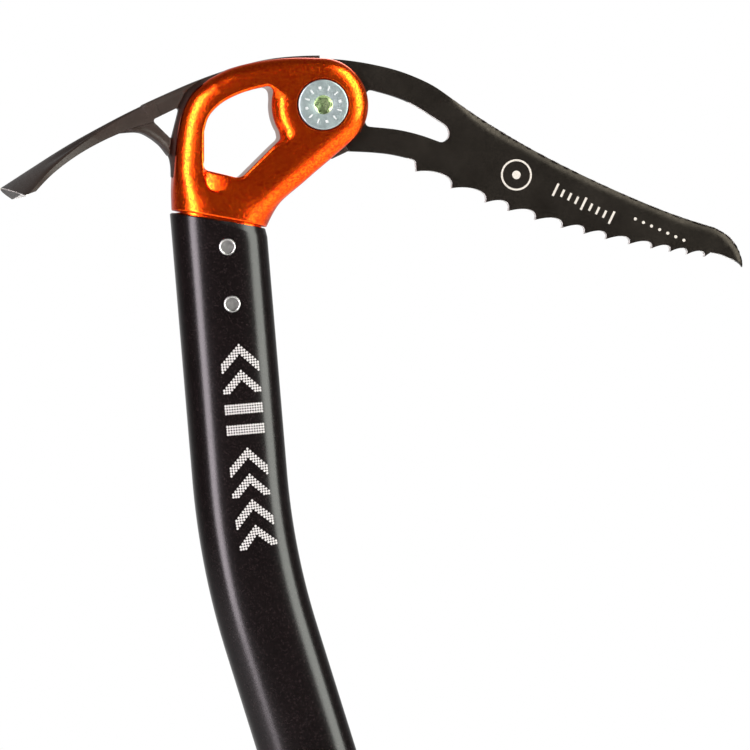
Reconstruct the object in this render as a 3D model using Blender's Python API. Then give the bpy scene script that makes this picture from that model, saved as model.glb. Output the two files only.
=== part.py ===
"""Technical ice axe: forged head, adze, toothed pick, bent tube shaft, grip, finger rest and spike.

World frame in metres: +X towards the pick's point, +Z up, the blades' mid-plane is y = 0.
The origin is the crown of the head's eye, where a carabiner holds the tool.
Outlines are written in millimetres about the pick bolt's centre, and scaled when a mesh is made.
The pieces of the lower shaft are written in their own frame: +Z up along the tube, +X to the pick's side.
"""

import math

import bmesh
import bpy
from mathutils import Matrix, Vector
from mathutils.geometry import tessellate_polygon

MM = 0.001

# Frame
EYE_CROWN = (-24.0, 5.7)  # from the bolt's centre; the world origin

# Head forging
HEAD_HALF = 9.0
MOUTH_HALF = 10.7
HEAD_EDGE = 4.6
EYE_EDGE = 3.0
SKIRT_TOP_HALF = 7.6
BOSS_R = 16.5
EYE_WALL_R = 17.9
SLOT_HALF = 2.3
SLOT_HUB_R = 14.3
COUNTERBORE_R = 9.35
COUNTERBORE_DEPTH = 3.6

# Blades
PLATE_HALF = 2.0
LAP_R = 13.0
LAP_RECESS_R = 13.3
LAP_GAP = 0.15
ARM_HALF = 5.0
PLATE_GAP = 0.3
TOOTH_PITCHES = (12.5, 12.1, 8.2, 9.5, 9.6, 7.9, 7.8, 8.3, 8.0, 6.6, 6.1, 6.2)
BLADE_HALF_WIDTH = 26.0
BLADE_DROP = 6.0
BLADE_SETBACK = 3.6

# Pick bolt, washer and sleeve nut
BOLT_R = 4.0
BOLT_HOLE_R = 4.3
FLANGE_R = 8.85
FLANGE_THICK = 2.4
HEX_ACROSS = 5.0
HEX_DEPTH = 2.0
BOLT_END_Y = 7.2
WASHER_THICK = 0.6
NUT_BARREL_R = 6.0
NUT_BORE_R = 4.06
NUT_FACE_Y = 9.0
BARREL_START_Y = 2.8

# Shaft tube: section width, depth and wall, and the path of its centre line
TUBE_W = 33.4
TUBE_D = 21.0
TUBE_WALL = 1.5
OVAL_POWER = 2.5
TOP_ANGLE = math.radians(4.85)
LOW_ANGLE = math.radians(17.5)
BEND_CORNER = (-26.0, -159.2)
BEND_R = 262.0
MOUTH_CENTRE_Z = -40.6
MOUTH_SLANT = math.radians(14.3)
TUBE_END = 252.0  # along the lower straight, from the end of the bend

# Rivets
RIVET_R = 3.05
RIVET_SHANK_R = 2.4
RIVET_HOLE_R = 2.6
HEAD_RIVETS = (9.4, 29.5)  # below the mouth's centre
HEAD_RIVET_OFFSET = 1.1
TANG_END = -83.0
TANG_HOLLOW_TOP = -47.0
TANG_WALL = 3.0
SPIKE_RIVETS = (230.0, 243.0)

# Grip, rests and spike, at stations along the lower straight
GRIP_TOP = 96.0
GRIP_END = 204.0
GRIP_WALL = 2.4
FIT_GAP = 0.3
REST_TOP = 204.6
REST_LENGTH = 17.0
REST_WALL = 4.0
REST_REACH = 21.0
REST_SCREW_R = 2.0
TRIGGER_TOP = 70.0
TRIGGER_LENGTH = 21.0
TRIGGER_WALL = 3.4
TRIGGER_REACH = 27.0
LINER_WALL = 1.2
EAR_OUT = 11.0
EAR_HALF = 7.0
EAR_HEIGHT = 13.0
SPLIT_HALF = 1.0
CLAMP_R = 2.0
CLAMP_HEAD_R = 3.5
NUT_ACROSS = 7.0
SPIKE_HALF = 2.5
TANG_HALF = 2.2
SPIKE_SHOULDER = 257.0
SPIKE_TIP = 301.0
SPIKE_EYE = 269.5
SPIKE_EYE_R = 6.5
SPIKE_WIDE = 13.5


def clear_scene():
    for obj in list(bpy.data.objects):
        bpy.data.objects.remove(obj, do_unlink=True)


def material(name, colour, metallic, roughness):
    mat = bpy.data.materials.new(name)
    mat.use_nodes = True
    shader = mat.node_tree.nodes["Principled BSDF"]
    shader.inputs["Base Color"].default_value = (*colour, 1.0)
    shader.inputs["Metallic"].default_value = metallic
    shader.inputs["Roughness"].default_value = roughness
    return mat


# ---------------------------------------------------------------- outlines, as (x, z) in millimetres


def blend(a, b, t):
    t = min(max(t, 0.0), 1.0)
    t = t * t * (3 - 2 * t)
    return a + (b - a) * t


def arc(centre, radius, start, end, steps):
    """Points of an arc, angles in degrees from +X towards +Z."""
    turn = [math.radians(start + (end - start) * i / steps) for i in range(steps + 1)]
    return [(centre[0] + radius * math.cos(a), centre[1] + radius * math.sin(a)) for a in turn]


def bezier(p0, p1, p2, p3, steps):
    points = []
    for i in range(steps + 1):
        t = i / steps
        weights = ((1 - t) ** 3, 3 * (1 - t) ** 2 * t, 3 * (1 - t) * t * t, t**3)
        points.append(tuple(sum(w * p[k] for w, p in zip(weights, (p0, p1, p2, p3))) for k in (0, 1)))
    return points


def through(keys, steps):
    """A smooth curve through the key points."""
    padded = [keys[0], *keys, keys[-1]]
    points = [keys[0]]
    for a, b, c, d in zip(padded, padded[1:], padded[2:], padded[3:]):
        h1 = (b[0] + (c[0] - a[0]) / 6, b[1] + (c[1] - a[1]) / 6)
        h2 = (c[0] - (d[0] - b[0]) / 6, c[1] - (d[1] - b[1]) / 6)
        points += bezier(b, h1, h2, c, steps)[1:]
    return points


def corner(before, at, after, radius, steps=5):
    """A rounded corner at a point, tangent to the lines from and to its neighbours."""
    p = Vector(at)
    a = (Vector(before) - p).normalized()
    b = (Vector(after) - p).normalized()
    half = a.angle(b) / 2
    reach = radius / math.tan(half)
    start = p + a * reach
    end = p + b * reach
    hold = reach * 0.55
    return bezier(tuple(start), tuple(start - a * hold), tuple(end - b * hold), tuple(end), steps)


def polygon(corners):
    """A closed outline of rounded corners, each (x, z, radius)."""
    points = []
    for i, (x, z, radius) in enumerate(corners):
        before = corners[i - 1][:2]
        after = corners[(i + 1) % len(corners)][:2]
        points += corner(before, (x, z), after, radius) if radius else [(x, z)]
    return points


def area(loop):
    return sum(a[0] * b[1] - b[0] * a[1] for a, b in zip(loop, loop[1:] + loop[:1])) / 2


def wound(loop, anticlockwise):
    return loop if (area(loop) > 0) == anticlockwise else loop[::-1]


def inset(loop, distance):
    """Each point moved to the left of its path, mitred."""
    moved = []
    for i, point in enumerate(loop):
        d1 = (Vector(point) - Vector(loop[i - 1])).normalized()
        d2 = (Vector(loop[(i + 1) % len(loop)]) - Vector(point)).normalized()
        n1 = Vector((-d1.y, d1.x))
        n2 = Vector((-d2.y, d2.x))
        step = (n1 + n2) / max(1 + n1.dot(n2), 0.5) * distance
        moved.append((point[0] + step.x, point[1] + step.y))
    return moved


# ---------------------------------------------------------------- solids


def finish(name, mesh_data, mat, location=(0.0, 0.0), tilt=0.0, smooth=35):
    """An object from a bmesh in millimetres, at (x, z) from the bolt, turned about its own Y."""
    bmesh.ops.remove_doubles(mesh_data, verts=mesh_data.verts, dist=1e-5)
    bmesh.ops.recalc_face_normals(mesh_data, faces=mesh_data.faces)
    bmesh.ops.scale(mesh_data, vec=(MM, MM, MM), verts=mesh_data.verts)
    mesh = bpy.data.meshes.new(name)
    mesh_data.to_mesh(mesh)
    mesh_data.free()
    mesh.shade_smooth()
    mesh.set_sharp_from_angle(angle=math.radians(smooth))
    obj = bpy.data.objects.new(name, mesh)
    if mat:
        mesh.materials.append(mat)
    bpy.context.scene.collection.objects.link(obj)
    obj.location = ((location[0] - EYE_CROWN[0]) * MM, 0.0, (location[1] - EYE_CROWN[1]) * MM)
    obj.rotation_euler = (0.0, -tilt, 0.0)
    return obj


def plate(loops, half, edge=None, steps=3):
    """A flat solid about y = 0 from an outline and its holes, its edges rounded.

    edge is one radius, or one for each loop.
    """
    levels = [math.pi / 2 * k / steps for k in range(steps + 1)] if edge else [math.pi / 2]
    made = bmesh.new()
    caps = []
    for index, loop in enumerate(loops):
        loop = wound(loop, index == 0)
        radius = edge[index] if isinstance(edge, tuple) else edge or 0.0
        rings = []
        for side in (-1, 1):
            order = levels if side < 0 else levels[::-1]
            for turn in order:
                ring = inset(loop, radius * (1 - math.sin(turn)))
                depth = side * (half - radius * (1 - math.cos(turn)))
                rings.append([made.verts.new((x, depth, z)) for x, z in ring])
        for low, high in zip(rings, rings[1:]):
            for i in range(len(loop)):
                made.faces.new((low[i - 1], low[i], high[i], high[i - 1]))
        caps.append((rings[0], rings[-1]))
    for side in (0, 1):
        rims = [cap[side] for cap in caps]
        flat = [Vector((v.co.x, v.co.z, 0.0)) for rim in rims for v in rim]
        counts = [len(rim) for rim in rims]
        starts = [sum(counts[:i]) for i in range(len(counts))]
        verts = [v for rim in rims for v in rim]
        for face in tessellate_polygon([flat[s : s + c] for s, c in zip(starts, counts)]):
            made.faces.new([verts[i] for i in face])
    return made


def oval(width, depth, count=36):
    """A flat-sided oval section, as (across, through) pairs."""
    points = []
    for i in range(count):
        turn = 2 * math.pi * i / count
        c, s = math.cos(turn), math.sin(turn)
        across = width / 2 * math.copysign(abs(c) ** (2 / OVAL_POWER), c)
        through_ = depth / 2 * math.copysign(abs(s) ** (2 / OVAL_POWER), s)
        points.append((across, through_))
    return points


def loft(rings, closed_ends=True):
    """A skin over rings of equal count. Rings are lists of points."""
    made = bmesh.new()
    rows = [[made.verts.new(p) for p in ring] for ring in rings]
    for low, high in zip(rows, rows[1:]):
        for i in range(len(low)):
            made.faces.new((low[i - 1], low[i], high[i], high[i - 1]))
    if closed_ends:
        made.faces.new(rows[0])
        made.faces.new(rows[-1])
    return made


def sleeve(outer, inner, bottom, top, lip=0.0):
    """An oval tube along local Z, with its outer ends rounded off by lip."""
    rings = []
    for (width, depth), levels in (
        (outer, ((bottom, lip), (bottom + lip, 0.0), (top - lip, 0.0), (top, lip))),
        (inner, ((top, 0.0), (bottom, 0.0))),
    ):
        for height, cut in levels:
            section = oval(width - 2 * cut, depth - 2 * cut)
            rings.append([(x, y, height) for x, y in section])
    return loft(rings + rings[:1], closed_ends=False)


def oval_block(outer, bottom, top, lip):
    """A solid oval block along local Z, with its ends rounded off by lip."""
    levels = ((bottom, lip), (bottom + lip, 0.0), (top - lip, 0.0), (top, lip))
    return loft([[(x, y, h) for x, y in oval(outer[0] - 2 * c, outer[1] - 2 * c)] for h, c in levels])


def stack(profile, axis="Y", count=32, hex_socket=None):
    """A turned solid from (radius, height) pairs, closed on its axis at both ends.

    hex_socket is (across flats, depth), sunk into the first end.
    """
    rings = []
    if hex_socket:
        across, depth = hex_socket
        corner_r = across / math.sqrt(3)
        start = profile[0][1]
        towards = 1 if profile[-1][1] > start else -1
        hexagon = []
        for i in range(count):
            turn = 2 * math.pi * i / count
            sector = (turn % (math.pi / 3)) - math.pi / 6
            hexagon.append((corner_r * math.cos(math.pi / 6) / math.cos(sector), turn))
        for height in (start + towards * depth, start):
            rings.append([(r * math.cos(t), r * math.sin(t), height) for r, t in hexagon])
    for radius, height in profile:
        ring = [2 * math.pi * i / count for i in range(count)]
        rings.append([(radius * math.cos(t), radius * math.sin(t), height) for t in ring])
    made = loft(rings)
    if axis == "Y":
        bmesh.ops.rotate(made, verts=made.verts, matrix=Matrix.Rotation(math.radians(-90), 3, "X"))
    if axis == "X":
        bmesh.ops.rotate(made, verts=made.verts, matrix=Matrix.Rotation(math.radians(90), 3, "Y"))
    return made


def ring_solid(outer_r, inner_r, low, high, count=32):
    """A flat ring about Y, from y = low to y = high."""
    loops = [arc((0, 0), radius, 0, 360, count)[:-1] for radius in (outer_r, inner_r)]
    made = plate(loops, (high - low) / 2)
    bmesh.ops.translate(made, verts=made.verts, vec=(0, (low + high) / 2, 0))
    return made


def cut(target, cutter, operation="DIFFERENCE", solver="EXACT"):
    """A boolean step on the target. The other solid is a guide and isn't part of the model."""
    cutter.hide_render = True
    cutter.display_type = "WIRE"
    step = target.modifiers.new(cutter.name, "BOOLEAN")
    step.operation = operation
    step.solver = solver
    step.object = cutter


def rod(name, radius, low, high, at=(0.0, 0.0), tilt=0.0, count=32):
    """A guide cylinder along Y."""
    return finish(name, stack(((radius, low), (radius, high)), count=count), None, at, tilt)


# ---------------------------------------------------------------- shared outlines


def eye_outline():
    start = through([(-42.0, -9.5), (-40.3, -4.2), (-36.0, 0.3), (-29.8, 3.6), (-23.2, 5.7)], 4)
    upper = corner((-23.2, 5.7), (-17.5, 6.9), (-17.9, 0.0), 2.2)
    wall = arc((0, 0), EYE_WALL_R, 175, 211, 6)
    lower = corner(wall[-1], (-14.8, -11.7), (-28.0, -25.6), 1.6)
    floor = corner((-17.2, -12.2), (-28.9, -26.0), (-42.0, -22.8), 3.8)
    side = corner((-28.9, -26.0), (-42.0, -22.8), (-42.0, -9.5), 2.4)
    return start + upper + wall + lower + floor + side


def head_outline():
    boss = arc((0, 0), BOSS_R, -51, 92, 20)
    crown = through([(-0.6, 16.5), (-11.5, 16.5), (-22.0, 15.3), (-32.0, 12.8), (-40.0, 8.9)], 4)
    side = through([(-40.0, 8.9), (-46.0, 3.6), (-49.8, -4.5), (-51.4, -14.0), (-52.0, -22.0)], 4)
    left = corner((-52.0, -22.0), (-47.6, -36.2), (-21.5, -39.6), 5.5)
    right = corner((-47.6, -36.2), (-21.5, -39.6), (-2.8, -23.9), 6.0)
    return boss + crown[1:] + side[1:] + left + right + [(-2.8, -23.9)]


def slot_hub(radius, start, end):
    """The left-hand side of the slot's round end, from above the eye to the lower nose."""
    return arc((0, 0), radius, start, end, 14)


def slot_inner(clear):
    """The slot's edge around the eye, from its lower left end up to the hub."""
    return through(
        [
            (-45.3 - clear, -25.6 + clear),
            (-45.2 - clear, -9.0),
            (-43.0 - clear, -1.6),
            (-37.8, 4.1 + clear),
            (-30.4, 7.6 + clear),
            (-21.0, 9.8 + clear),
        ],
        3,
    )


def spine(t):
    """The adze's top edge, from its joint with the pick at 0 to the cutting edge at 1."""
    return bezier((-0.4, 17.5), (-34.8, 17.5), (-69.5, -1.3), (-112.7, -29.4), 1000)[round(t * 1000)]


def spine_run(start, end, steps):
    return [spine(start + (end - start) * i / steps) for i in range(steps + 1)]


# ---------------------------------------------------------------- pieces


def tube_axis(z):
    """The tube's centre line at a height of its upper straight."""
    return BEND_CORNER[0] - (z - BEND_CORNER[1]) * math.tan(TOP_ANGLE)


def tube_frames():
    """Stations down the shaft: (x, z, angle from vertical)."""
    reach = BEND_R * math.tan((LOW_ANGLE - TOP_ANGLE) / 2)
    frames = [(tube_axis(MOUTH_CENTRE_Z), MOUTH_CENTRE_Z, TOP_ANGLE)]
    start = (
        BEND_CORNER[0] - reach * math.sin(TOP_ANGLE),
        BEND_CORNER[1] + reach * math.cos(TOP_ANGLE),
    )
    centre = (start[0] + BEND_R * math.cos(TOP_ANGLE), start[1] + BEND_R * math.sin(TOP_ANGLE))
    for i in range(11):
        turn = TOP_ANGLE + (LOW_ANGLE - TOP_ANGLE) * i / 10
        frames.append((centre[0] - BEND_R * math.cos(turn), centre[1] - BEND_R * math.sin(turn), turn))
    x, z, _ = frames[-1]
    frames.append((x + TUBE_END * math.sin(LOW_ANGLE), z - TUBE_END * math.cos(LOW_ANGLE), LOW_ANGLE))
    return frames


def low_point(station, across=0.0):
    """A point of the lower straight, in millimetres from the bolt."""
    x, z, _ = tube_frames()[-2]
    return (
        x + station * math.sin(LOW_ANGLE) + across * math.cos(LOW_ANGLE),
        z - station * math.cos(LOW_ANGLE) + across * math.sin(LOW_ANGLE),
    )


def swept_oval(width, depth, frames, slants):
    """Rings of an oval section at the frames, each cut at its own slant."""
    rings = []
    for (x, z, turn), slant in zip(frames, slants):
        ring = []
        for across, deep in oval(width, depth):
            down = across * math.tan(slant)
            px = x + across * math.cos(turn) + down * math.sin(turn)
            pz = z + across * math.sin(turn) - down * math.cos(turn)
            ring.append((px, deep, pz))
        rings.append(ring)
    return rings


def skirt_rings():
    """The forging's lower end: sections that grow from the plate into the tube's oval at the mouth."""
    left = through([(-52.0, -24.0), (-52.6, -30.5), (-52.5, -36.9)], 4)
    right = through([(-6.2, -26.9), (-14.6, -34.4), (-19.2, -42.8)], 4)
    rings = []
    for i, (a, b) in enumerate(zip(left, right)):
        deep = blend(SKIRT_TOP_HALF, MOUTH_HALF, i / (len(left) - 2))
        across = Vector((b[0] - a[0], b[1] - a[1]))
        middle = ((a[0] + b[0]) / 2, (a[1] + b[1]) / 2)
        section = oval(1.0, 2 * deep)
        rings.append([(middle[0] + u * across.x, y, middle[1] + u * across.y) for u, y in section])
    return rings


def tang_block(clear, heights):
    """A block that fits the tube's bore with a clearance, between two heights."""
    frames = [(tube_axis(z), z, TOP_ANGLE) for z in heights]
    shrink = 2 * (TUBE_WALL + clear)
    return loft(swept_oval(TUBE_W - shrink, TUBE_D - shrink, frames, (0.0, 0.0)))


def build_head(mat):
    made = plate([head_outline(), eye_outline()], HEAD_HALF, (HEAD_EDGE, EYE_EDGE), 5)
    body = finish("head_body", made, mat)
    cut(body, finish("guide_skirt", loft(skirt_rings()), None), "UNION")
    cut(body, finish("guide_tang", tang_block(FIT_GAP, (-35.0, TANG_END)), None), "UNION")
    hollow = tang_block(FIT_GAP + TANG_WALL, (TANG_HOLLOW_TOP, TANG_END - 5.0))
    cut(body, finish("guide_tang_hollow", hollow, None))
    outside = [(4.6, -24.0), (40.0, -30.0), (40.0, 40.0), (-70.0, 40.0), (-70.0, -25.6)]
    slot = slot_hub(SLOT_HUB_R, 131, 281) + outside + slot_inner(0.0)
    cut(body, finish("guide_slot", plate([slot], SLOT_HALF), None))
    cut(body, rod("guide_bolt_bore", BOLT_HOLE_R, -14.0, 0.0))
    cut(body, rod("guide_nut_bore", NUT_BARREL_R + 0.2, 0.0, 14.0))
    depth = HEAD_HALF - COUNTERBORE_DEPTH
    cut(body, rod("guide_counterbore_front", COUNTERBORE_R, -14.0, -depth, count=48))
    cut(body, rod("guide_counterbore_back", COUNTERBORE_R, depth, 14.0, count=48))
    for i, below in enumerate(HEAD_RIVETS):
        hole = rod(f"guide_tang_hole_{i}", RIVET_SHANK_R + 0.2, -14.0, 14.0, rivet_point(below), count=20)
        cut(body, hole)


def rivet_point(below):
    """A head rivet's centre, a distance below the mouth's centre along the tube."""
    x = tube_axis(MOUTH_CENTRE_Z) + below * math.sin(TOP_ANGLE) + HEAD_RIVET_OFFSET * math.cos(TOP_ANGLE)
    z = MOUTH_CENTRE_Z - below * math.cos(TOP_ANGLE) + HEAD_RIVET_OFFSET * math.sin(TOP_ANGLE)
    return (x, z)


def blade_sections():
    """The adze's scooped blade: rings across Y, square to its top edge."""
    rings = []
    count = 10
    stations = [0.56 + 0.42 * i / 11 for i in range(12)] + [1.0]
    for t in stations:
        u = (t - 0.56) / 0.44
        x, z = spine(t)
        x2, z2 = spine(min(t + 0.01, 1.0))
        x1, z1 = spine(t - 0.01)
        along = Vector((x2 - x1, z2 - z1)).normalized()
        down = Vector((-along.y, along.x))
        if down.y > 0:
            down = -down
        width = ARM_HALF - 0.3 + (BLADE_HALF_WIDTH - ARM_HALF) * u**2.6
        thick = 2.4 + 5.2 * (1 - u) ** 2.6
        thick = 0.5 if t == 1.0 else thick
        top = []
        low = []
        for i in range(count + 1):
            f = -1 + 2 * i / count
            sink = BLADE_DROP * u**2.2 * f * f + 0.3 * (1 - u) ** 4
            back = BLADE_SETBACK * blend(0, 1, (u - 0.7) / 0.3) * f * f
            for store, extra in ((top, 0.0), (low, thick)):
                p = Vector((x, z)) + down * (sink + extra) - along * back
                store.append((p.x, f * width, p.y))
        rings.append(top + low[::-1])
    return rings


def arm_outline():
    top = spine_run(0.405, 0.585, 6)
    under = through([(-70.6, -10.6), (-65.3, -9.7), (-61.6, -10.7), (-57.0, -13.9), (-53.8, -17.8)], 3)
    return top + under + [(-53.0, -11.5), (-50.9, -1.0), (-48.4, 3.9)]


def adze_outline():
    nose = [(4.1, -18.75), (9.9, -16.0), *arc((0, 0), LAP_R, -58, 91.5, 16)]
    top = spine_run(0.0, 0.5, 14)
    under = through([(-57.0, -13.9), (-53.9, -17.6), (-52.9, -21.0), (-52.7, -25.3)], 3)
    return nose + top + under + slot_inner(PLATE_GAP) + slot_hub(SLOT_HUB_R - PLATE_GAP, 127, 282.5)


def build_adze(mat):
    adze = finish("adze", plate([adze_outline()], PLATE_HALF), mat)
    cut(adze, finish("guide_arm", plate([arm_outline()], ARM_HALF, 0.8, 2), None), "UNION")
    cut(adze, finish("guide_blade", loft(blade_sections()), None), "UNION", "MANIFOLD")
    window = polygon([(-59.9, -5.5, 0.9), (-49.8, -0.6, 0.9), (-52.8, -12.4, 0.8)])
    cut(adze, finish("guide_window", plate([window], 9.0), None))
    cut(adze, finish("guide_adze_lap", ring_slab(LAP_RECESS_R, -6.0, LAP_GAP), None))
    cut(adze, rod("guide_adze_hole", BOLT_HOLE_R, -6.0, 6.0))


def ring_slab(radius, low, high):
    return stack(((radius, low), (radius, high)), count=56)


def teeth(points_per_notch):
    """The pick's toothed edge, from the first tooth's tip to the last one's."""
    reach = sum(TOOTH_PITCHES)
    first = 34.0

    def tip(x):
        t = (x - first) / reach
        # the tips' line is a quadratic arc, solved for its own parameter
        a, b = 34.0 - 2 * 78.0 + 136.8, 2 * (78.0 - 34.0)
        k = (-b + math.sqrt(b * b + 4 * a * t * reach)) / (2 * a)
        return (1 - k) ** 2 * -23.1 + 2 * k * (1 - k) * -45.3 + k * k * -52.9

    points = []
    x = first
    for i, pitch in enumerate(TOOTH_PITCHES):
        share = i / (len(TOOTH_PITCHES) - 1)
        z = tip(x)
        z_next = tip(x + pitch)
        wall = 4.6 - 2.3 * share
        rise = 0.9 + 0.4 * share
        foot = (x + pitch + 0.2, z_next + 0.35 * wall)
        shoulder = (x + pitch, z_next + wall + 0.6)
        points += bezier((x, z), (x + 0.4 * pitch, z + rise), shoulder, foot, points_per_notch)
        x += pitch
    points.append((x, tip(x)))
    return points


def pick_outline():
    top = through([(0.0, 16.45), (8.0, 16.0), (17.7, 14.6), (28.4, 12.0), (39.0, 7.6), (47.0, 2.3)], 4)
    back = through([(47.0, 2.3), (57.0, -4.4), (71.0, -12.8), (85.2, -20.3), (99.3, -27.0)], 3)
    fore = through([(99.3, -27.0), (113.6, -33.2), (127.7, -38.6), (140.6, -42.6)], 3)
    nose = through([(140.6, -42.6), (145.6, -45.6), (148.9, -49.9), (150.4, -54.4), (150.5, -56.5)], 3)
    point = through([(150.5, -56.5), (149.1, -54.9), (145.9, -53.4), (142.3, -52.0), (139.0, -51.4)], 3)
    under = corner((31.8, -18.6), (33.7, -19.2), (34.0, -23.1), 1.2, 3)
    rear = through([(10.3, -16.1), (17.7, -16.4), (24.8, -17.1), (31.0, -18.4)], 3)
    toothed = teeth(8)
    hub = arc((0, 0), LAP_R, 90, 303, 22)
    return hub + rear + under + toothed + point[::-1] + (top + back[1:] + fore[1:] + nose[1:-1])[::-1]


def pick_slot():
    upper = through([(18.5, 5.4), (26.0, 3.3), (33.0, 0.4), (42.0, -5.2), (43.9, -6.4)], 3)
    end = bezier((43.9, -6.4), (46.9, -8.6), (46.0, -13.2), (42.3, -12.7), 6)
    lower = through([(42.3, -12.7), (35.0, -10.2), (27.0, -8.4), (18.2, -7.5)], 3)
    close = bezier((18.2, -7.5), (15.4, -7.4), (15.8, -6.0), (15.6, -3.0), 4)
    rise = bezier((15.6, -3.0), (15.5, 3.4), (15.6, 5.9), (18.5, 5.4), 5)
    return upper + end[1:] + lower[1:] + close[1:] + rise[1:-1]


def build_pick(mat):
    pick = finish("pick", plate([pick_outline(), pick_slot()], PLATE_HALF), mat)
    cut(pick, finish("guide_pick_lap", ring_slab(LAP_RECESS_R, -LAP_GAP, 6.0), None))
    cut(pick, rod("guide_pick_hole", BOLT_HOLE_R, -6.0, 6.0))


def build_bolt(bolt_mat, washer_mat, nut_mat):
    face = -HEAD_HALF
    under = face + FLANGE_THICK
    profile = (
        (FLANGE_R - 0.4, face),
        (FLANGE_R, face + 0.4),
        (FLANGE_R, under),
        (BOLT_R, under),
        (BOLT_R, BOLT_END_Y - 0.5),
        (BOLT_R - 0.5, BOLT_END_Y),
    )
    finish("pick_bolt", stack(profile, count=48, hex_socket=(HEX_ACROSS, HEX_DEPTH)), bolt_mat)
    seat = -(HEAD_HALF - COUNTERBORE_DEPTH) - 0.2
    washer = ring_solid(FLANGE_R - 0.4, BOLT_HOLE_R - 0.1, seat - WASHER_THICK, seat)
    finish("pick_washer", washer, washer_mat)
    flange_in = HEAD_HALF - COUNTERBORE_DEPTH + 0.2
    nut = finish(
        "pick_nut",
        stack(
            (
                (FLANGE_R - 0.4, NUT_FACE_Y),
                (FLANGE_R, NUT_FACE_Y - 0.4),
                (FLANGE_R, flange_in),
                (NUT_BARREL_R, flange_in),
                (NUT_BARREL_R, BARREL_START_Y),
            ),
            count=48,
        ),
        nut_mat,
    )
    cut(nut, rod("guide_nut_thread", NUT_BORE_R, 0.0, 14.0))


def build_rivet(name, mat, at, tilt):
    """A through rivet with a low rimmed head on each side of the tube."""
    seat = TUBE_D / 2 + 0.12
    profile = [(RIVET_R - 0.9, seat + 0.35), (RIVET_R - 0.6, seat + 0.7), (RIVET_R - 0.15, seat + 0.55)]
    profile += [(RIVET_R, seat + 0.2), (RIVET_R, seat), (RIVET_SHANK_R, seat)]
    mirrored = [(r, -h) for r, h in profile]
    finish(name, stack(mirrored + profile[::-1], count=24), mat, at, tilt)


def build_shaft(mat):
    frames = tube_frames()
    slants = [MOUTH_SLANT] + [0.0] * (len(frames) - 1)
    outer = swept_oval(TUBE_W, TUBE_D, frames, slants)
    inner = swept_oval(TUBE_W - 2 * TUBE_WALL, TUBE_D - 2 * TUBE_WALL, frames, slants)
    shaft = finish("shaft", loft(outer + inner[::-1] + outer[:1], closed_ends=False), mat)
    points = [rivet_point(below) for below in HEAD_RIVETS] + [low_point(s) for s in SPIKE_RIVETS]
    for i, point in enumerate(points):
        cut(shaft, rod(f"guide_shaft_hole_{i}", RIVET_HOLE_R, -14.0, 14.0, point, count=20))
    hole = stack(((REST_SCREW_R + 0.3, -30.0), (REST_SCREW_R + 0.3, -8.0)), axis="X", count=20)
    screw_at = low_point(REST_TOP + REST_LENGTH / 2)
    cut(shaft, finish("guide_shaft_screw", hole, None, screw_at, LOW_ANGLE))


def rest_profile(reach, root, height, droop):
    """A finger hook seen from the side: from the collar out to a rounded tip and back."""
    return through(
        [
            (root - 9.0, height / 2),
            (root, height / 2 - 0.5),
            (root + reach * 0.55, height / 2 - 5.5),
            (root + reach * 0.95, height / 2 - 4.5 + droop),
            (root + reach, height / 2 - 7.5 + droop),
            (root + reach * 0.8, height / 2 - 11.0 + droop),
            (root + reach * 0.4, -height / 2 + 1.6),
            (root - 9.0, -height / 2),
        ],
        4,
    )


def build_grip(mat):
    length = GRIP_END - GRIP_TOP
    inner = (TUBE_W + 2 * FIT_GAP, TUBE_D + 2 * FIT_GAP)
    outer = (inner[0] + 2 * GRIP_WALL, inner[1] + 2 * GRIP_WALL)
    made = sleeve(outer, inner, -length / 2, length / 2, 1.0)
    finish("grip_sleeve", made, mat, low_point((GRIP_TOP + GRIP_END) / 2), LOW_ANGLE)


def build_lower_rest(mat, screw_mat):
    at = low_point(REST_TOP + REST_LENGTH / 2)
    inner = (TUBE_W + 2 * FIT_GAP, TUBE_D + 2 * FIT_GAP)
    outer = (inner[0] + 2 * REST_WALL, inner[1] + 2 * REST_WALL)
    half = REST_LENGTH / 2
    rest = finish("lower_rest", oval_block(outer, -half, half, 1.2), mat, at, LOW_ANGLE)
    hook = plate([rest_profile(REST_REACH, outer[0] / 2 - 1.0, REST_LENGTH - 1.5, 3.0)], 8.0, 3.0)
    cut(rest, finish("guide_rest_hook", hook, None, at, LOW_ANGLE), "UNION")
    bore = loft([[(x, y, z) for x, y in oval(*inner)] for z in (-20.0, 20.0)])
    cut(rest, finish("guide_rest_bore", bore, None, at, LOW_ANGLE))
    hole = stack(((REST_SCREW_R + 0.3, -30.0), (REST_SCREW_R + 0.3, -8.0)), axis="X", count=20)
    cut(rest, finish("guide_rest_screw", hole, None, at, LOW_ANGLE))
    face = outer[0] / 2 + 0.15
    head = ((1.9, -face - 2.0), (3.4, -face - 1.2), (3.6, -face))
    profile = (*head, (REST_SCREW_R, -face), (REST_SCREW_R, -face + 6.4))
    made = stack(profile, axis="X", count=24, hex_socket=(2.5, 1.2))
    finish("lower_rest_screw", made, screw_mat, at, LOW_ANGLE)


def split_cutter(reach):
    """A slab that opens a collar along its rear side."""
    return plate([[(-reach, -30.0), (-8.0, -30.0), (-8.0, 30.0), (-reach, 30.0)]], SPLIT_HALF)


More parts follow.
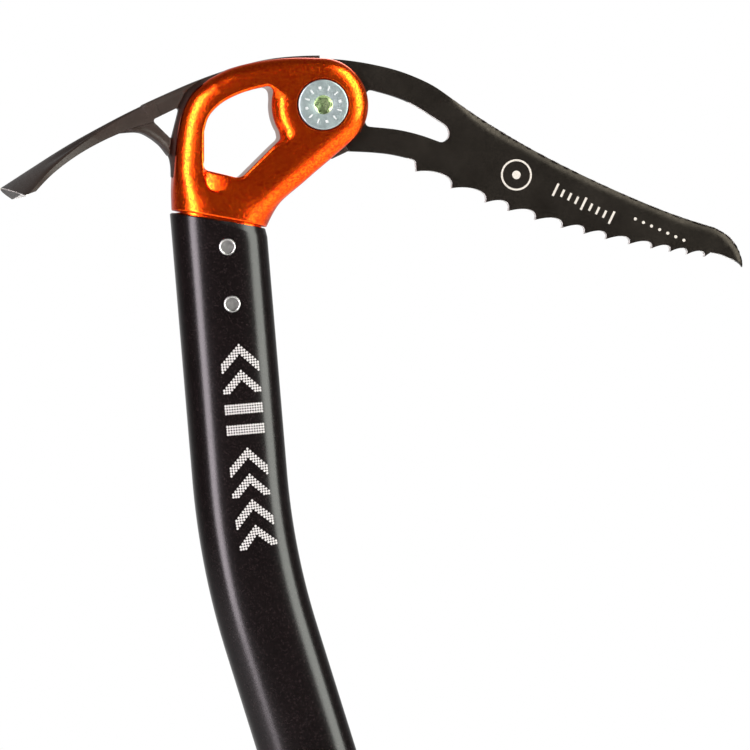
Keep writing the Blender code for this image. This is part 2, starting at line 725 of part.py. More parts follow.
def build_trigger(body_mat, liner_mat, screw_mat, washer_mat, nut_mat):
    at = low_point(TRIGGER_TOP + TRIGGER_LENGTH / 2)
    half = TRIGGER_LENGTH / 2
    liner_in = (TUBE_W + 2 * FIT_GAP, TUBE_D + 2 * FIT_GAP)
    liner_out = (liner_in[0] + 2 * LINER_WALL, liner_in[1] + 2 * LINER_WALL)
    body_in = (liner_out[0] + 0.4, liner_out[1] + 0.4)
    body_out = (body_in[0] + 2 * TRIGGER_WALL, body_in[1] + 2 * TRIGGER_WALL)

    made = sleeve(liner_out, liner_in, -half + 1.0, half - 1.0)
    liner = finish("trigger_liner", made, liner_mat, at, LOW_ANGLE)
    cut(liner, finish("guide_liner_split", split_cutter(40.0), None, at, LOW_ANGLE))

    body = finish("trigger_body", oval_block(body_out, -half, half, 1.2), body_mat, at, LOW_ANGLE)
    profile = rest_profile(TRIGGER_REACH, body_out[0] / 2 - 1.0, TRIGGER_LENGTH - 2.0, 4.0)
    hook = plate([profile], 7.5, 3.0)
    cut(body, finish("guide_trigger_hook", hook, None, at, LOW_ANGLE), "UNION")
    out = body_out[0] / 2
    top = EAR_HEIGHT / 2
    root = -out + 7.0
    end = -out - EAR_OUT
    ear = polygon([(root, -top, 0), (root, top, 0), (end, top, 4.0), (end, -top, 4.0)])
    cut(body, finish("guide_ears", plate([ear], EAR_HALF, 0.8, 2), None, at, LOW_ANGLE), "UNION")
    bore = loft([[(x, y, z) for x, y in oval(*body_in)] for z in (-20.0, 20.0)])
    cut(body, finish("guide_trigger_bore", bore, None, at, LOW_ANGLE))
    cut(body, finish("guide_body_split", split_cutter(60.0), None, at, LOW_ANGLE))
    screw_at = low_point(TRIGGER_TOP + half, -out - EAR_OUT / 2)
    cut(body, rod("guide_clamp_hole", CLAMP_R + 0.2, -12.0, 12.0, screw_at, LOW_ANGLE, 20))

    seat = -EAR_HALF - 0.15
    washer = ring_solid(CLAMP_HEAD_R + 0.6, CLAMP_R + 0.15, seat - 0.5, seat, 24)
    finish("trigger_washer", washer, washer_mat, screw_at, LOW_ANGLE)
    under = seat - 0.5 - 0.15
    profile = (
        (CLAMP_HEAD_R - 0.4, under - 3.0),
        (CLAMP_HEAD_R, under - 2.5),
        (CLAMP_HEAD_R, under),
        (CLAMP_R, under),
        (CLAMP_R, EAR_HALF + 3.3),
    )
    screw = stack(profile, count=24, hex_socket=(3.0, 1.8))
    finish("trigger_screw", screw, screw_mat, screw_at, LOW_ANGLE)
    hexagon = arc((0, 0), NUT_ACROSS / math.sqrt(3), 0, 360, 6)[:-1]
    hole = arc((0, 0), CLAMP_R + 0.06, 0, 360, 24)[:-1]
    nut = plate([hexagon, hole], 1.5)
    bmesh.ops.translate(nut, verts=nut.verts, vec=(0, EAR_HALF + 0.15 + 1.5, 0))
    finish("trigger_nut", nut, nut_mat, screw_at, LOW_ANGLE)


def build_spike(mat, plug_mat):
    at = low_point(0.0)
    wide = SPIKE_WIDE
    tip = (0.9, -SPIKE_TIP + 0.6)
    side = through([tip, (3.4, -294.0), (8.6, -281.0), (wide - 1.0, -269.0), (wide, -261.0)], 4)
    edge = side + corner((wide, -261.0), (wide, -SPIKE_SHOULDER), (0.0, -SPIKE_SHOULDER), 2.0, 4)
    outline = edge + [(-x, z) for x, z in edge[::-1]]
    eye = arc((0, -SPIKE_EYE), SPIKE_EYE_R, 0, 360, 32)[:-1]
    spike = finish("spike", plate([outline, eye], SPIKE_HALF, 0.5, 2), mat, at, LOW_ANGLE)
    low = -SPIKE_SHOULDER - 2.0
    tang = [(-9.0, low), (9.0, low), (9.0, -225.0), (-9.0, -225.0)]
    cut(spike, finish("guide_spike_tang", plate([tang], TANG_HALF), None, at, LOW_ANGLE), "UNION")
    inner = (TUBE_W - 2 * TUBE_WALL - 2 * FIT_GAP, TUBE_D - 2 * TUBE_WALL - 2 * FIT_GAP)
    plug_rings = []
    for (width, depth), height in (
        ((TUBE_W - 6.0, TUBE_D - 6.0), -SPIKE_SHOULDER + FIT_GAP),
        ((TUBE_W, TUBE_D), -TUBE_END - 2.6),
        ((TUBE_W, TUBE_D), -TUBE_END - FIT_GAP),
        (inner, -TUBE_END - FIT_GAP),
        (inner, -223.0),
    ):
        plug_rings.append([(x, y, height) for x, y in oval(width, depth)])
    plug = finish("spike_plug", loft(plug_rings), plug_mat, at, LOW_ANGLE)
    pocket = [(-9.3, -262.0), (9.3, -262.0), (9.3, -224.7), (-9.3, -224.7)]
    cut(plug, finish("guide_pocket", plate([pocket], TANG_HALF + 0.25), None, at, LOW_ANGLE))
    for i, station in enumerate(SPIKE_RIVETS):
        for target in (spike, plug):
            name = f"guide_{target.name}_hole_{i}"
            cut(target, rod(name, RIVET_SHANK_R + 0.2, -14.0, 14.0, low_point(station), count=20))


def build_all():
    clear_scene()
    build_head(material("orange_anodised", (0.72, 0.1, 0.01), 0.85, 0.35))
    build_adze(material("adze_black", (0.03, 0.026, 0.022), 0.7, 0.4))
    build_pick(material("pick_black", (0.028, 0.024, 0.02), 0.6, 0.45))
    build_bolt(
        material("zinc_steel", (0.32, 0.36, 0.36), 1.0, 0.35),
        material("washer_steel", (0.4, 0.4, 0.38), 1.0, 0.3),
        material("nut_zinc", (0.3, 0.34, 0.34), 1.0, 0.35),
    )
    build_shaft(material("shaft_black", (0.012, 0.01, 0.01), 0.6, 0.3))
    rivet_mat = material("rivet_steel", (0.45, 0.45, 0.43), 1.0, 0.3)
    for name, below in zip(("head_rivet_upper", "head_rivet_lower"), HEAD_RIVETS):
        build_rivet(name, rivet_mat.copy(), rivet_point(below), TOP_ANGLE)
    for name, station in zip(("spike_rivet_upper", "spike_rivet_lower"), SPIKE_RIVETS):
        build_rivet(name, rivet_mat.copy(), low_point(station), LOW_ANGLE)
    build_grip(material("grip_rubber", (0.02, 0.02, 0.02), 0.0, 0.8))
    build_lower_rest(
        material("rest_plastic", (0.03, 0.03, 0.03), 0.0, 0.6),
        material("rest_screw_steel", (0.4, 0.4, 0.4), 1.0, 0.3),
    )
    build_trigger(
        material("trigger_plastic", (0.03, 0.03, 0.03), 0.0, 0.55),
        material("liner_rubber", (0.02, 0.02, 0.02), 0.0, 0.85),
        material("clamp_screw_steel", (0.4, 0.4, 0.4), 1.0, 0.3),
        material("clamp_washer_steel", (0.45, 0.45, 0.45), 1.0, 0.3),
        material("clamp_nut_steel", (0.4, 0.4, 0.4), 1.0, 0.35),
    )
    build_spike(
        material("spike_steel", (0.35, 0.35, 0.34), 1.0, 0.35),
        material("plug_plastic", (0.03, 0.03, 0.03), 0.0, 0.6),
    )


build_all()
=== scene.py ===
"""Ice axe: the visual model, its studio and its camera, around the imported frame."""
import math

import bmesh
import bpy
import numpy as np
from mathutils import Matrix, Vector
from mathutils.geometry import delaunay_2d_cdt, tessellate_polygon


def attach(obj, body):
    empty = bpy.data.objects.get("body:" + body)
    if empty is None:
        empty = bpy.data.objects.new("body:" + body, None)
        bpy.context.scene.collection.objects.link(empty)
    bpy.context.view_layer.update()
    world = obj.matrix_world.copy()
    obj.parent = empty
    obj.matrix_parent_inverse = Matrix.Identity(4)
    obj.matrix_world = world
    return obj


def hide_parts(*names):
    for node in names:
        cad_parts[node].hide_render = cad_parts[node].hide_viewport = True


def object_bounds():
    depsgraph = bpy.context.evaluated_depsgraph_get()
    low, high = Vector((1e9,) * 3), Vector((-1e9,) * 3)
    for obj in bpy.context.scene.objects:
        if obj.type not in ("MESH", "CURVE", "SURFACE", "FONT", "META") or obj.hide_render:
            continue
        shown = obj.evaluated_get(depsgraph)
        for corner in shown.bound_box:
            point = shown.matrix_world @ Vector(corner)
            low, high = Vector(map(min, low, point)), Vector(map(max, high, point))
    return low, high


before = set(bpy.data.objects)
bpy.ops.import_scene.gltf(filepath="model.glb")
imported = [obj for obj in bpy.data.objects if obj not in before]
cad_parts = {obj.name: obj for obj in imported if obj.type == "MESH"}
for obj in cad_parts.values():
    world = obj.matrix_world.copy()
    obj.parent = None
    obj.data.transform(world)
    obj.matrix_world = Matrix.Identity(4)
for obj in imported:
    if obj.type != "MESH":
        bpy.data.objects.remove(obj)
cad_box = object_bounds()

MM = 0.001
EYE_CROWN = (-24.0, 5.7)  # the frame's origin, in millimetres from the pick bolt

# The same sizes as the frame's
HEAD_HALF = 9.0
MOUTH_HALF = 10.6
SLOT_HALF = 2.3
SLOT_HUB_R = 14.3
COUNTERBORE_R = 9.35
COUNTERBORE_FLOOR = 5.4
BOLT_HOLE_R = 4.3
NUT_HOLE_R = 6.2
PLATE_HALF = 2.0
ARM_HALF = 5.0
LAP_R = 13.0
LAP_RECESS_R = 13.3
PLATE_GAP = 0.3
TOOTH_PITCHES = (12.5, 12.1, 8.2, 9.5, 9.6, 7.9, 7.8, 8.3, 8.0, 6.6, 6.1, 6.2)
BLADE_HALF_WIDTH = 25.6
TUBE_W = 33.4
TUBE_D = 21.0
TUBE_WALL = 1.5
OVAL_POWER = 2.5
TOP_ANGLE = math.radians(4.85)
LOW_ANGLE = math.radians(17.5)
BEND_CORNER = (-26.0, -159.2)
BEND_R = 262.0
MOUTH_CENTRE_Z = -40.6
MOUTH_SLANT = math.radians(14.3)
TUBE_END = 252.0
HEAD_RIVETS = (9.4, 29.5)
HEAD_RIVET_OFFSET = 1.1
SPIKE_RIVETS = (230.0, 243.0)
RIVET_R = 3.05
FLANGE_R = 8.85
HEX_ACROSS = 5.0

# The print on the tube, the marks and the adze's edge
PRINT_START = 44.0
PRINT_OFFSET = 2.2
PRINT_PITCH = 0.91
PRINT_BLOCKS = 4
PRINT_BLOCK_ROWS = 20
PRINT_COLUMNS = 15
PRINT_LIFT = 0.025
MARK_HALF = 0.012
EDGE_BACK = 3.6  # how far the adze's corners trail the middle of its edge
EDGE_GROUND = 0.972  # where the adze's ground edge starts along its spine

SHARP = 32  # degrees between faces, from which an edge is shaded sharp


# ---------------------------------------------------------------- outlines, as (x, z) in millimetres


def blend(t):
    """A smooth step, 0 below t = 0 and 1 above t = 1."""
    t = np.clip(t, 0.0, 1.0)
    return t * t * (3 - 2 * t)


def arc(centre, radius, start, end, steps):
    turn = [math.radians(start + (end - start) * i / steps) for i in range(steps + 1)]
    return [(centre[0] + radius * math.cos(a), centre[1] + radius * math.sin(a)) for a in turn]


def bezier(p0, p1, p2, p3, steps):
    points = []
    for i in range(steps + 1):
        t = i / steps
        weights = ((1 - t) ** 3, 3 * (1 - t) ** 2 * t, 3 * (1 - t) * t * t, t**3)
        points.append(tuple(sum(w * p[k] for w, p in zip(weights, (p0, p1, p2, p3))) for k in (0, 1)))
    return points


def through(keys, steps):
    """A smooth curve through the key points."""
    padded = [keys[0], *keys, keys[-1]]
    points = [keys[0]]
    for a, b, c, d in zip(padded, padded[1:], padded[2:], padded[3:]):
        h1 = (b[0] + (c[0] - a[0]) / 6, b[1] + (c[1] - a[1]) / 6)
        h2 = (c[0] - (d[0] - b[0]) / 6, c[1] - (d[1] - b[1]) / 6)
        points += bezier(b, h1, h2, c, steps)[1:]
    return points


def corner(before, at, after, radius, steps=8):
    """A rounded corner at a point, tangent to the lines from and to its neighbours."""
    p = Vector(at)
    a = (Vector(before) - p).normalized()
    b = (Vector(after) - p).normalized()
    reach = radius / math.tan(a.angle(b) / 2)
    start = p + a * reach
    end = p + b * reach
    hold = reach * 0.55
    return bezier(tuple(start), tuple(start - a * hold), tuple(end - b * hold), tuple(end), steps)


def polygon(corners):
    """A closed outline from (x, z, corner radius) triples."""
    points = []
    for i, (x, z, radius) in enumerate(corners):
        before = corners[i - 1][:2]
        after = corners[(i + 1) % len(corners)][:2]
        points += corner(before, (x, z), after, radius) if radius else [(x, z)]
    return points


def evened(loop, step):
    """The closed loop with long runs divided and points closer than a fifth of the step dropped."""
    kept = []
    for point in loop:
        if not kept or math.dist(kept[-1], point) > step * 0.2:
            kept.append(point)
    if math.dist(kept[0], kept[-1]) < step * 0.2:
        kept.pop()
    made = []
    for a, b in zip(kept, kept[1:] + kept[:1]):
        count = max(1, math.ceil(math.dist(a, b) / step))
        for i in range(count):
            made.append((a[0] + (b[0] - a[0]) * i / count, a[1] + (b[1] - a[1]) * i / count))
    return made


def area(loop):
    return sum(a[0] * b[1] - b[0] * a[1] for a, b in zip(loop, loop[1:] + loop[:1])) / 2


def wound(loop, anticlockwise):
    """The loop, reversed if it doesn't run the way that is asked for."""
    return loop if (area(loop) > 0) == anticlockwise else loop[::-1]


def inset(loop, distance):
    """Each point moved to the left of its path, mitred."""
    moved = []
    for i, point in enumerate(loop):
        d1 = (Vector(point) - Vector(loop[i - 1])).normalized()
        d2 = (Vector(loop[(i + 1) % len(loop)]) - Vector(point)).normalized()
        n1 = Vector((-d1.y, d1.x))
        n2 = Vector((-d2.y, d2.x))
        step = (n1 + n2) / max(1 + n1.dot(n2), 0.5) * distance
        moved.append((point[0] + step.x, point[1] + step.y))
    return moved


def segments(loops, closed=True):
    starts, ends = [], []
    for loop in loops:
        starts += loop if closed else loop[:-1]
        ends += loop[1:] + (loop[:1] if closed else [])
    return np.array(starts, float), np.array(ends, float)


def distance(points, loops, closed=True):
    """From each point to the nearest of the loops' lines."""
    a, b = segments(loops, closed)
    span = b - a
    size = np.maximum((span**2).sum(1), 1e-12)
    nearest = np.full(len(points), 1e9)
    for first in range(0, len(points), 2000):
        p = points[first : first + 2000, None, :]
        t = np.clip(((p - a) * span).sum(2) / size, 0, 1)
        gap = p - (a + t[..., None] * span)
        nearest[first : first + 2000] = np.sqrt((gap**2).sum(2)).min(1)
    return nearest


def inside(points, loops):
    """Whether each point is within the outline and outside its holes."""
    a, b = segments(loops)
    result = np.zeros(len(points), bool)
    for first in range(0, len(points), 2000):
        p = points[first : first + 2000, None, :]
        crosses = (a[:, 1] > p[..., 1]) != (b[:, 1] > p[..., 1])
        drop = np.where(np.abs(b[:, 1] - a[:, 1]) < 1e-12, 1e-12, b[:, 1] - a[:, 1])
        at = a[:, 0] + (p[..., 1] - a[:, 1]) * (b[:, 0] - a[:, 0]) / drop
        result[first : first + 2000] = (crosses & (p[..., 0] < at)).sum(1) % 2 == 1
    return result


# ---------------------------------------------------------------- solids


def place(mesh_data, location=(0.0, 0.0), tilt=0.0):
    """Takes a bmesh in millimetres to the frame: turned about Y, then moved to (x, z) from the bolt."""
    if tilt:
        bmesh.ops.rotate(mesh_data, verts=mesh_data.verts, matrix=Matrix.Rotation(-tilt, 3, "Y"))
    shift = (location[0] - EYE_CROWN[0], 0.0, location[1] - EYE_CROWN[1])
    bmesh.ops.translate(mesh_data, verts=mesh_data.verts, vec=shift)
    bmesh.ops.scale(mesh_data, vec=(MM, MM, MM), verts=mesh_data.verts)
    return mesh_data


def solid(name, mesh_data, location=(0.0, 0.0), tilt=0.0, smooth=SHARP):
    bmesh.ops.remove_doubles(mesh_data, verts=mesh_data.verts, dist=1e-5)
    bmesh.ops.recalc_face_normals(mesh_data, faces=mesh_data.faces)
    place(mesh_data, location, tilt)
    mesh = bpy.data.meshes.new(name)
    mesh_data.to_mesh(mesh)
    mesh_data.free()
    mesh.shade_smooth()
    mesh.set_sharp_from_angle(angle=math.radians(smooth))
    obj = bpy.data.objects.new(name, mesh)
    bpy.context.scene.collection.objects.link(obj)
    return obj


def combine(target, others, operation="DIFFERENCE", solver="EXACT"):
    """The boolean result of the target and the others, written into the target's mesh."""
    for other in others:
        step = target.modifiers.new(other.name, "BOOLEAN")
        step.operation = operation
        step.solver = solver
        step.object = other
    depsgraph = bpy.context.evaluated_depsgraph_get()
    mesh = bpy.data.meshes.new_from_object(target.evaluated_get(depsgraph))
    target.modifiers.clear()
    old = target.data
    target.data = mesh
    bpy.data.meshes.remove(old)
    for other in others:
        bpy.data.objects.remove(other, do_unlink=True)
    mesh.shade_smooth()
    mesh.set_sharp_from_angle(angle=math.radians(SHARP))
    return target


def gather(target, part, lift):
    """Adds a part, moved along Y, to a bmesh of several parts."""
    bmesh.ops.translate(part, verts=part.verts, vec=(0, lift, 0))
    stash = bpy.data.meshes.new("stash")
    part.to_mesh(stash)
    part.free()
    target.from_mesh(stash)
    bpy.data.meshes.remove(stash)


def plate(loops, half):
    """A flat solid about y = 0 from an outline and its holes."""
    made = bmesh.new()
    caps = []
    for index, loop in enumerate(loops):
        loop = wound(loop, index == 0)
        near = [made.verts.new((x, -half, z)) for x, z in loop]
        far = [made.verts.new((x, half, z)) for x, z in loop]
        for i in range(len(loop)):
            made.faces.new((near[i - 1], near[i], far[i], far[i - 1]))
        caps.append((near, far))
    for side in (0, 1):
        rims = [cap[side] for cap in caps]
        flat = [[Vector((v.co.x, v.co.z, 0.0)) for v in rim] for rim in rims]
        verts = [v for rim in rims for v in rim]
        for face in tessellate_polygon(flat):
            made.faces.new([verts[i] for i in face])
    return made


def slab(loops, heights, step, rings=(), lines=()):
    """A solid about y = 0, finely meshed, whose front and back stand off by heights(points).

    rings are distances from the outline at which points are laid, and lines are creases.
    """
    loops = [wound(evened(loop, step), index == 0) for index, loop in enumerate(loops)]
    points, edges = [], []
    for loop in loops:
        first = len(points)
        points += loop
        edges += [(first + i, first + (i + 1) % len(loop)) for i in range(len(loop))]
    for line in lines:
        first = len(points)
        points += line
        edges += [(first + i, first + i + 1) for i in range(len(line) - 1)]
    for away in rings:
        ring = np.array([p for loop in loops for p in inset(loop, away)])
        ring = ring[(distance(ring, loops) > away * 0.9) & inside(ring, loops)]
        if lines:
            ring = ring[distance(ring, lines, False) > 0.15]
        points += [tuple(p) for p in ring]
    low = np.min(loops[0], axis=0)
    high = np.max(loops[0], axis=0)
    rows = []
    for k, z in enumerate(np.arange(low[1], high[1], step * 0.866)):
        rows += [(x + (k % 2) * step / 2, z) for x in np.arange(low[0], high[0], step)]
    grid = np.array(rows)
    grid = grid[inside(grid, loops)]
    grid = grid[distance(grid, loops) > max((*rings, 0.0)) + step * 0.5]
    if lines:
        grid = grid[distance(grid, lines, False) > step * 0.4]
    points += [tuple(p) for p in grid]
    found = delaunay_2d_cdt([Vector(p) for p in points], edges, [], 0, 1e-5)
    flat = np.array([tuple(p) for p in found[0]])
    faces = np.array([tuple(f) for f in found[2]])
    faces = faces[inside(flat[faces].mean(1), loops)]
    front, back = heights(flat)
    made = bmesh.new()
    near = [made.verts.new((x, -h, z)) for (x, z), h in zip(flat, front)]
    far = [made.verts.new((x, h, z)) for (x, z), h in zip(flat, back)]
    used = {}
    for a, b, c in faces.tolist():
        made.faces.new((near[a], near[b], near[c]))
        made.faces.new((far[c], far[b], far[a]))
        for pair in ((a, b), (b, c), (c, a)):
            used[pair] = True
    for a, b in used:
        if (b, a) not in used:
            made.faces.new((near[b], near[a], far[a], far[b]))
    loose = [v for v in made.verts if not v.link_faces]
    bmesh.ops.delete(made, geom=loose, context="VERTS")
    return made


def loft(rings, closed_ends=True):
    """A skin over rings that have the same number of points."""
    made = bmesh.new()
    rows = [[made.verts.new(p) for p in ring] for ring in rings]
    for low, high in zip(rows, rows[1:]):
        for i in range(len(low)):
            made.faces.new((low[i - 1], low[i], high[i], high[i - 1]))
    if closed_ends:
        made.faces.new(rows[0])
        made.faces.new(rows[-1])
    return made


def turned(profile, count=64):
    """A turned solid about Y from (radius, y) pairs, or from whole rings of (radius, turn, y)."""
    rings = []
    for item in profile:
        if isinstance(item, list):
            rings.append([(r * math.cos(t), y, r * math.sin(t)) for r, t, y in item])
        else:
            radius, y = item
            turn = [2 * math.pi * i / count for i in range(count)]
            rings.append([(radius * math.cos(t), y, radius * math.sin(t)) for t in turn])
    return loft(rings)


def hexagon(across, y, count=64):
    """A ring of hexagon shape with as many points as a turned ring."""
    ring = []
    for i in range(count):
        turn = 2 * math.pi * i / count
        sector = (turn % (math.pi / 3)) - math.pi / 6
        ring.append((across / 2 / math.cos(sector), turn, y))
    return ring


def oval(width, depth, count=72):
    """The tube's flat-sided section, as (across, deep) pairs."""
    points = []
    for i in range(count):
        turn = 2 * math.pi * i / count
        c, s = math.cos(turn), math.sin(turn)
        across = width / 2 * math.copysign(abs(c) ** (2 / OVAL_POWER), c)
        deep = depth / 2 * math.copysign(abs(s) ** (2 / OVAL_POWER), s)
        points.append((across, deep))
    return points


# ---------------------------------------------------------------- finishes


RANGE_SOCKETS = ("From Min", "From Max", "To Min", "To Max")


class Finish:
    """A node material under construction, on the object's own coordinates."""

    def __init__(self, name, metallic=0.0, specular=0.5):
        self.material = bpy.data.materials.new(name)
        self.material.use_nodes = True
        self.tree = self.material.node_tree
        self.shader = self.tree.nodes["Principled BSDF"]
        self.shader.inputs["Metallic"].default_value = metallic
        self.shader.inputs["Specular IOR Level"].default_value = specular
        self.place = self.tree.nodes.new("ShaderNodeTexCoord").outputs["Object"]

    def link(self, source, target):
        self.tree.links.new(source, target)

    def noise(self, scale, detail=2.0, stretch=None, rough=0.5):
        node = self.tree.nodes.new("ShaderNodeTexNoise")
        node.inputs["Scale"].default_value = scale
        node.inputs["Detail"].default_value = detail
        node.inputs["Roughness"].default_value = rough
        place = self.place
        if stretch:
            mapping = self.tree.nodes.new("ShaderNodeMapping")
            mapping.inputs["Scale"].default_value = stretch
            self.link(place, mapping.inputs["Vector"])
            place = mapping.outputs["Vector"]
        self.link(place, node.inputs["Vector"])
        return node.outputs["Fac"]

    def cells(self, scale):
        """A random value for each small cell."""
        node = self.tree.nodes.new("ShaderNodeTexVoronoi")
        node.inputs["Scale"].default_value = scale
        self.link(self.place, node.inputs["Vector"])
        split = self.tree.nodes.new("ShaderNodeSeparateColor")
        self.link(node.outputs["Color"], split.inputs["Color"])
        return split.outputs["Red"]

    def spread(self, value, low, high, to_low=0.0, to_high=1.0):
        node = self.tree.nodes.new("ShaderNodeMapRange")
        for socket, number in zip(RANGE_SOCKETS, (low, high, to_low, to_high)):
            node.inputs[socket].default_value = number
        self.link(value, node.inputs["Value"])
        return node.outputs["Result"]

    def maths(self, operation, a, b):
        node = self.tree.nodes.new("ShaderNodeMath")
        node.operation = operation
        for socket, value in zip(node.inputs, (a, b)):
            if isinstance(value, (int, float)):
                socket.default_value = value
            else:
                self.link(value, socket)
        return node.outputs[0]

    def mix(self, share, a, b):
        node = self.tree.nodes.new("ShaderNodeMix")
        node.data_type = "RGBA"
        self.link(share, node.inputs[0])
        for socket, value in zip((node.inputs[6], node.inputs[7]), (a, b)):
            if isinstance(value, tuple):
                socket.default_value = (*value, 1.0)
            else:
                self.link(value, socket)
        return node.outputs[2]

    def edge_wear_and_highlight(self, low=0.53, high=0.6):
        """How pale a convex edge is painted, more in some places than in others: partly rubbing, partly a
        painted highlight where the edge catches light.
        """
        geometry = self.tree.nodes.new("ShaderNodeNewGeometry")
        edge = self.spread(geometry.outputs["Pointiness"], low, high)
        return self.maths("MULTIPLY", edge, self.spread(self.noise(260.0, 3.0), 0.35, 0.65))

    def colour(self, value):
        self.link(value, self.shader.inputs["Base Color"])

    def rough(self, value):
        self.link(value, self.shader.inputs["Roughness"])

    def bump(self, value, strength, height_mm):
        node = self.tree.nodes.new("ShaderNodeBump")
        node.inputs["Strength"].default_value = strength
        node.inputs["Distance"].default_value = height_mm * MM
        self.link(value, node.inputs["Height"])
        previous = self.shader.inputs["Normal"].links
        if previous:
            self.link(previous[0].from_socket, node.inputs["Normal"])
        self.link(node.outputs["Normal"], self.shader.inputs["Normal"])


def anodised(name, dark, light, roughness, sparkle):
    """Blasted and dyed aluminium, with painted glints in its colour for its sparkle."""
    made = Finish(name, metallic=1.0)
    tone = made.spread(made.noise(40.0, 2.0), 0.0, 1.0, 0.25, 0.75)
    # Painted glints: colour lighter or darker cell by cell, standing in for the sparkle of light on the
    # blasted face.
    glint = made.spread(made.cells(3000.0), 0.0, 1.0, -0.5 * sparkle, 0.5 * sparkle)
    made.colour(made.mix(made.maths("ADD", tone, glint), dark, light))
    fine = made.noise(2300.0, 3.0, rough=0.7)
    made.rough(made.spread(fine, 0.25, 0.75, roughness - 0.05, roughness + 0.05))
    made.bump(made.cells(2500.0), 0.36, 0.026)
    return made.material


def coated(name, dark, light, wear_and_highlight, metallic, roughness, grain=1700.0):
    """Dark coated steel, paler at its edges: partly rubbed-off coating, partly a painted highlight where
    the edges catch light.
    """
    made = Finish(name, metallic=metallic, specular=0.22)
    tone = made.mix(made.spread(made.noise(70.0, 4.0), 0.3, 0.7), dark, light)
    # Edges painted paler: partly rubbed-off coating, partly a painted highlight.
    made.colour(made.mix(made.edge_wear_and_highlight(0.56, 0.68), tone, wear_and_highlight))
    fine = made.noise(grain, 3.0, rough=0.6)
    made.rough(made.spread(fine, 0.3, 0.7, roughness - 0.08, roughness + 0.1))
    made.bump(fine, 0.3, 0.02)
    return made.material


def steel(name, dark, light, roughness, stretch=(1.0, 1.0, 1.0), grain=1500.0, bump=0.25, metallic=1.0):
    """Bare or plated steel, slightly mottled, with a fine grain."""
    made = Finish(name, metallic=metallic)
    blotch = made.spread(made.noise(420.0, 4.0, rough=0.65), 0.3, 0.7)
    made.colour(made.mix(blotch, dark, light))
    fine = made.noise(grain, 3.0, stretch)
    made.rough(made.spread(fine, 0.25, 0.75, roughness - 0.08, roughness + 0.1))
    made.bump(fine, bump, 0.02)
    return made.material


def moulded(name, dark, light, roughness, grain, bump, specular=0.4):
    """Moulded rubber or nylon: a fine grain, and paler on its edges."""
    made = Finish(name, specular=specular)
    tone = made.mix(made.spread(made.noise(60.0, 2.0), 0.0, 1.0, 0.2, 0.8), dark, light)
    made.colour(made.mix(made.edge_wear_and_highlight(0.52, 0.62), tone, tuple(1.8 * c + 0.01 for c in light)))
    fine = made.noise(grain, 3.0, rough=0.6)
    made.rough(made.spread(fine, 0.3, 0.7, roughness - 0.08, roughness + 0.12))
    made.bump(fine, bump, 0.06)
    return made.material


def dyed_tube(name):
    """Black anodised tube: deep black, a fine satin sparkle painted as paler cells in its colour, and a few
    handling marks.
    """
    made = Finish(name, specular=0.26)
    # Painted glints: paler cells standing in for the satin sparkle of light.
    glint = made.spread(made.cells(3200.0), 0.78, 1.0)
    tone = made.spread(made.noise(60.0, 3.0), 0.3, 0.7)
    base = made.mix(tone, (0.0018, 0.001, 0.001), (0.003, 0.0018, 0.0018))
    made.colour(made.mix(glint, base, (0.012, 0.008, 0.008)))
    fine = made.noise(2600.0, 3.0, rough=0.7)
    marks = made.spread(made.noise(700.0, 4.0, (1.0, 1.0, 0.12), 0.7), 0.62, 0.8, 0.0, 0.1)
    made.rough(made.maths("ADD", made.spread(fine, 0.25, 0.75, 0.15, 0.25), marks))
    made.bump(fine, 0.35, 0.02)
    return made.material


def printed(name, colour):
    """Screen print or a laser mark: flat, slightly uneven."""
    made = Finish(name, specular=0.3)
    tone = made.spread(made.noise(1500.0, 3.0), 0.3, 0.7)
    made.colour(made.mix(tone, tuple(0.86 * c for c in colour), colour))
    made.rough(made.spread(made.noise(2500.0, 2.0), 0.3, 0.7, 0.5, 0.7))
    return made.material


orange = anodised(
    "orange_anodised", (0.76, 0.032, 0.005), (1.0, 0.13, 0.007), roughness=0.22, sparkle=2.2
)
# The eye's walls are painted paler: a painted reflection of the white light they catch at a slant.
eye_wall_painted_reflection = anodised("eye_wall_painted_reflection", (0.5, 0.34, 0.29), (0.7, 0.5, 0.43), roughness=0.34, sparkle=0.5)
adze_black = coated(
    "adze_coating",
    (0.014, 0.0095, 0.007),
    (0.024, 0.016, 0.012),
    wear_and_highlight=(0.1, 0.095, 0.085),
    metallic=0.1,
    roughness=0.42,
)
pick_black = coated(
    "pick_coating",
    (0.017, 0.0145, 0.012),
    (0.028, 0.024, 0.02),
    wear_and_highlight=(0.16, 0.15, 0.14),
    metallic=1.0,
    roughness=0.4,
    grain=2100.0,
)
ground = steel("ground_edge", (0.6, 0.59, 0.56), (0.78, 0.77, 0.74), 0.38, (1.0, 6.0, 1.0), metallic=0.5)
zinc = steel("zinc_plate", (0.2, 0.245, 0.245), (0.3, 0.36, 0.355), 0.42, grain=1900.0, metallic=0.85)
socket_zinc = steel("socket_zinc", (0.16, 0.24, 0.1), (0.36, 0.46, 0.24), 0.3)
nut_zinc = steel("nut_zinc", (0.5, 0.58, 0.58), (0.64, 0.74, 0.73), 0.36)
washer_steel = steel("washer_steel", (0.4, 0.4, 0.38), (0.55, 0.55, 0.53), 0.3)
tube_black = dyed_tube("tube_black")
white_print = printed("white_print", (0.38, 0.37, 0.355))
laser_mark = printed("laser_mark", (0.36, 0.34, 0.3))
pale_mark = printed("pale_mark", (0.36, 0.39, 0.38))
rivet_rim = steel("rivet_rim", (0.3, 0.3, 0.29), (0.42, 0.42, 0.4), 0.3)
rivet_centre = steel("rivet_centre", (0.13, 0.13, 0.125), (0.26, 0.26, 0.25), 0.42, bump=0.6)
grip_rubber = moulded(
    "grip_rubber", (0.012, 0.012, 0.012), (0.024, 0.023, 0.022), 0.62, grain=1400.0, bump=0.35, specular=0.3
)
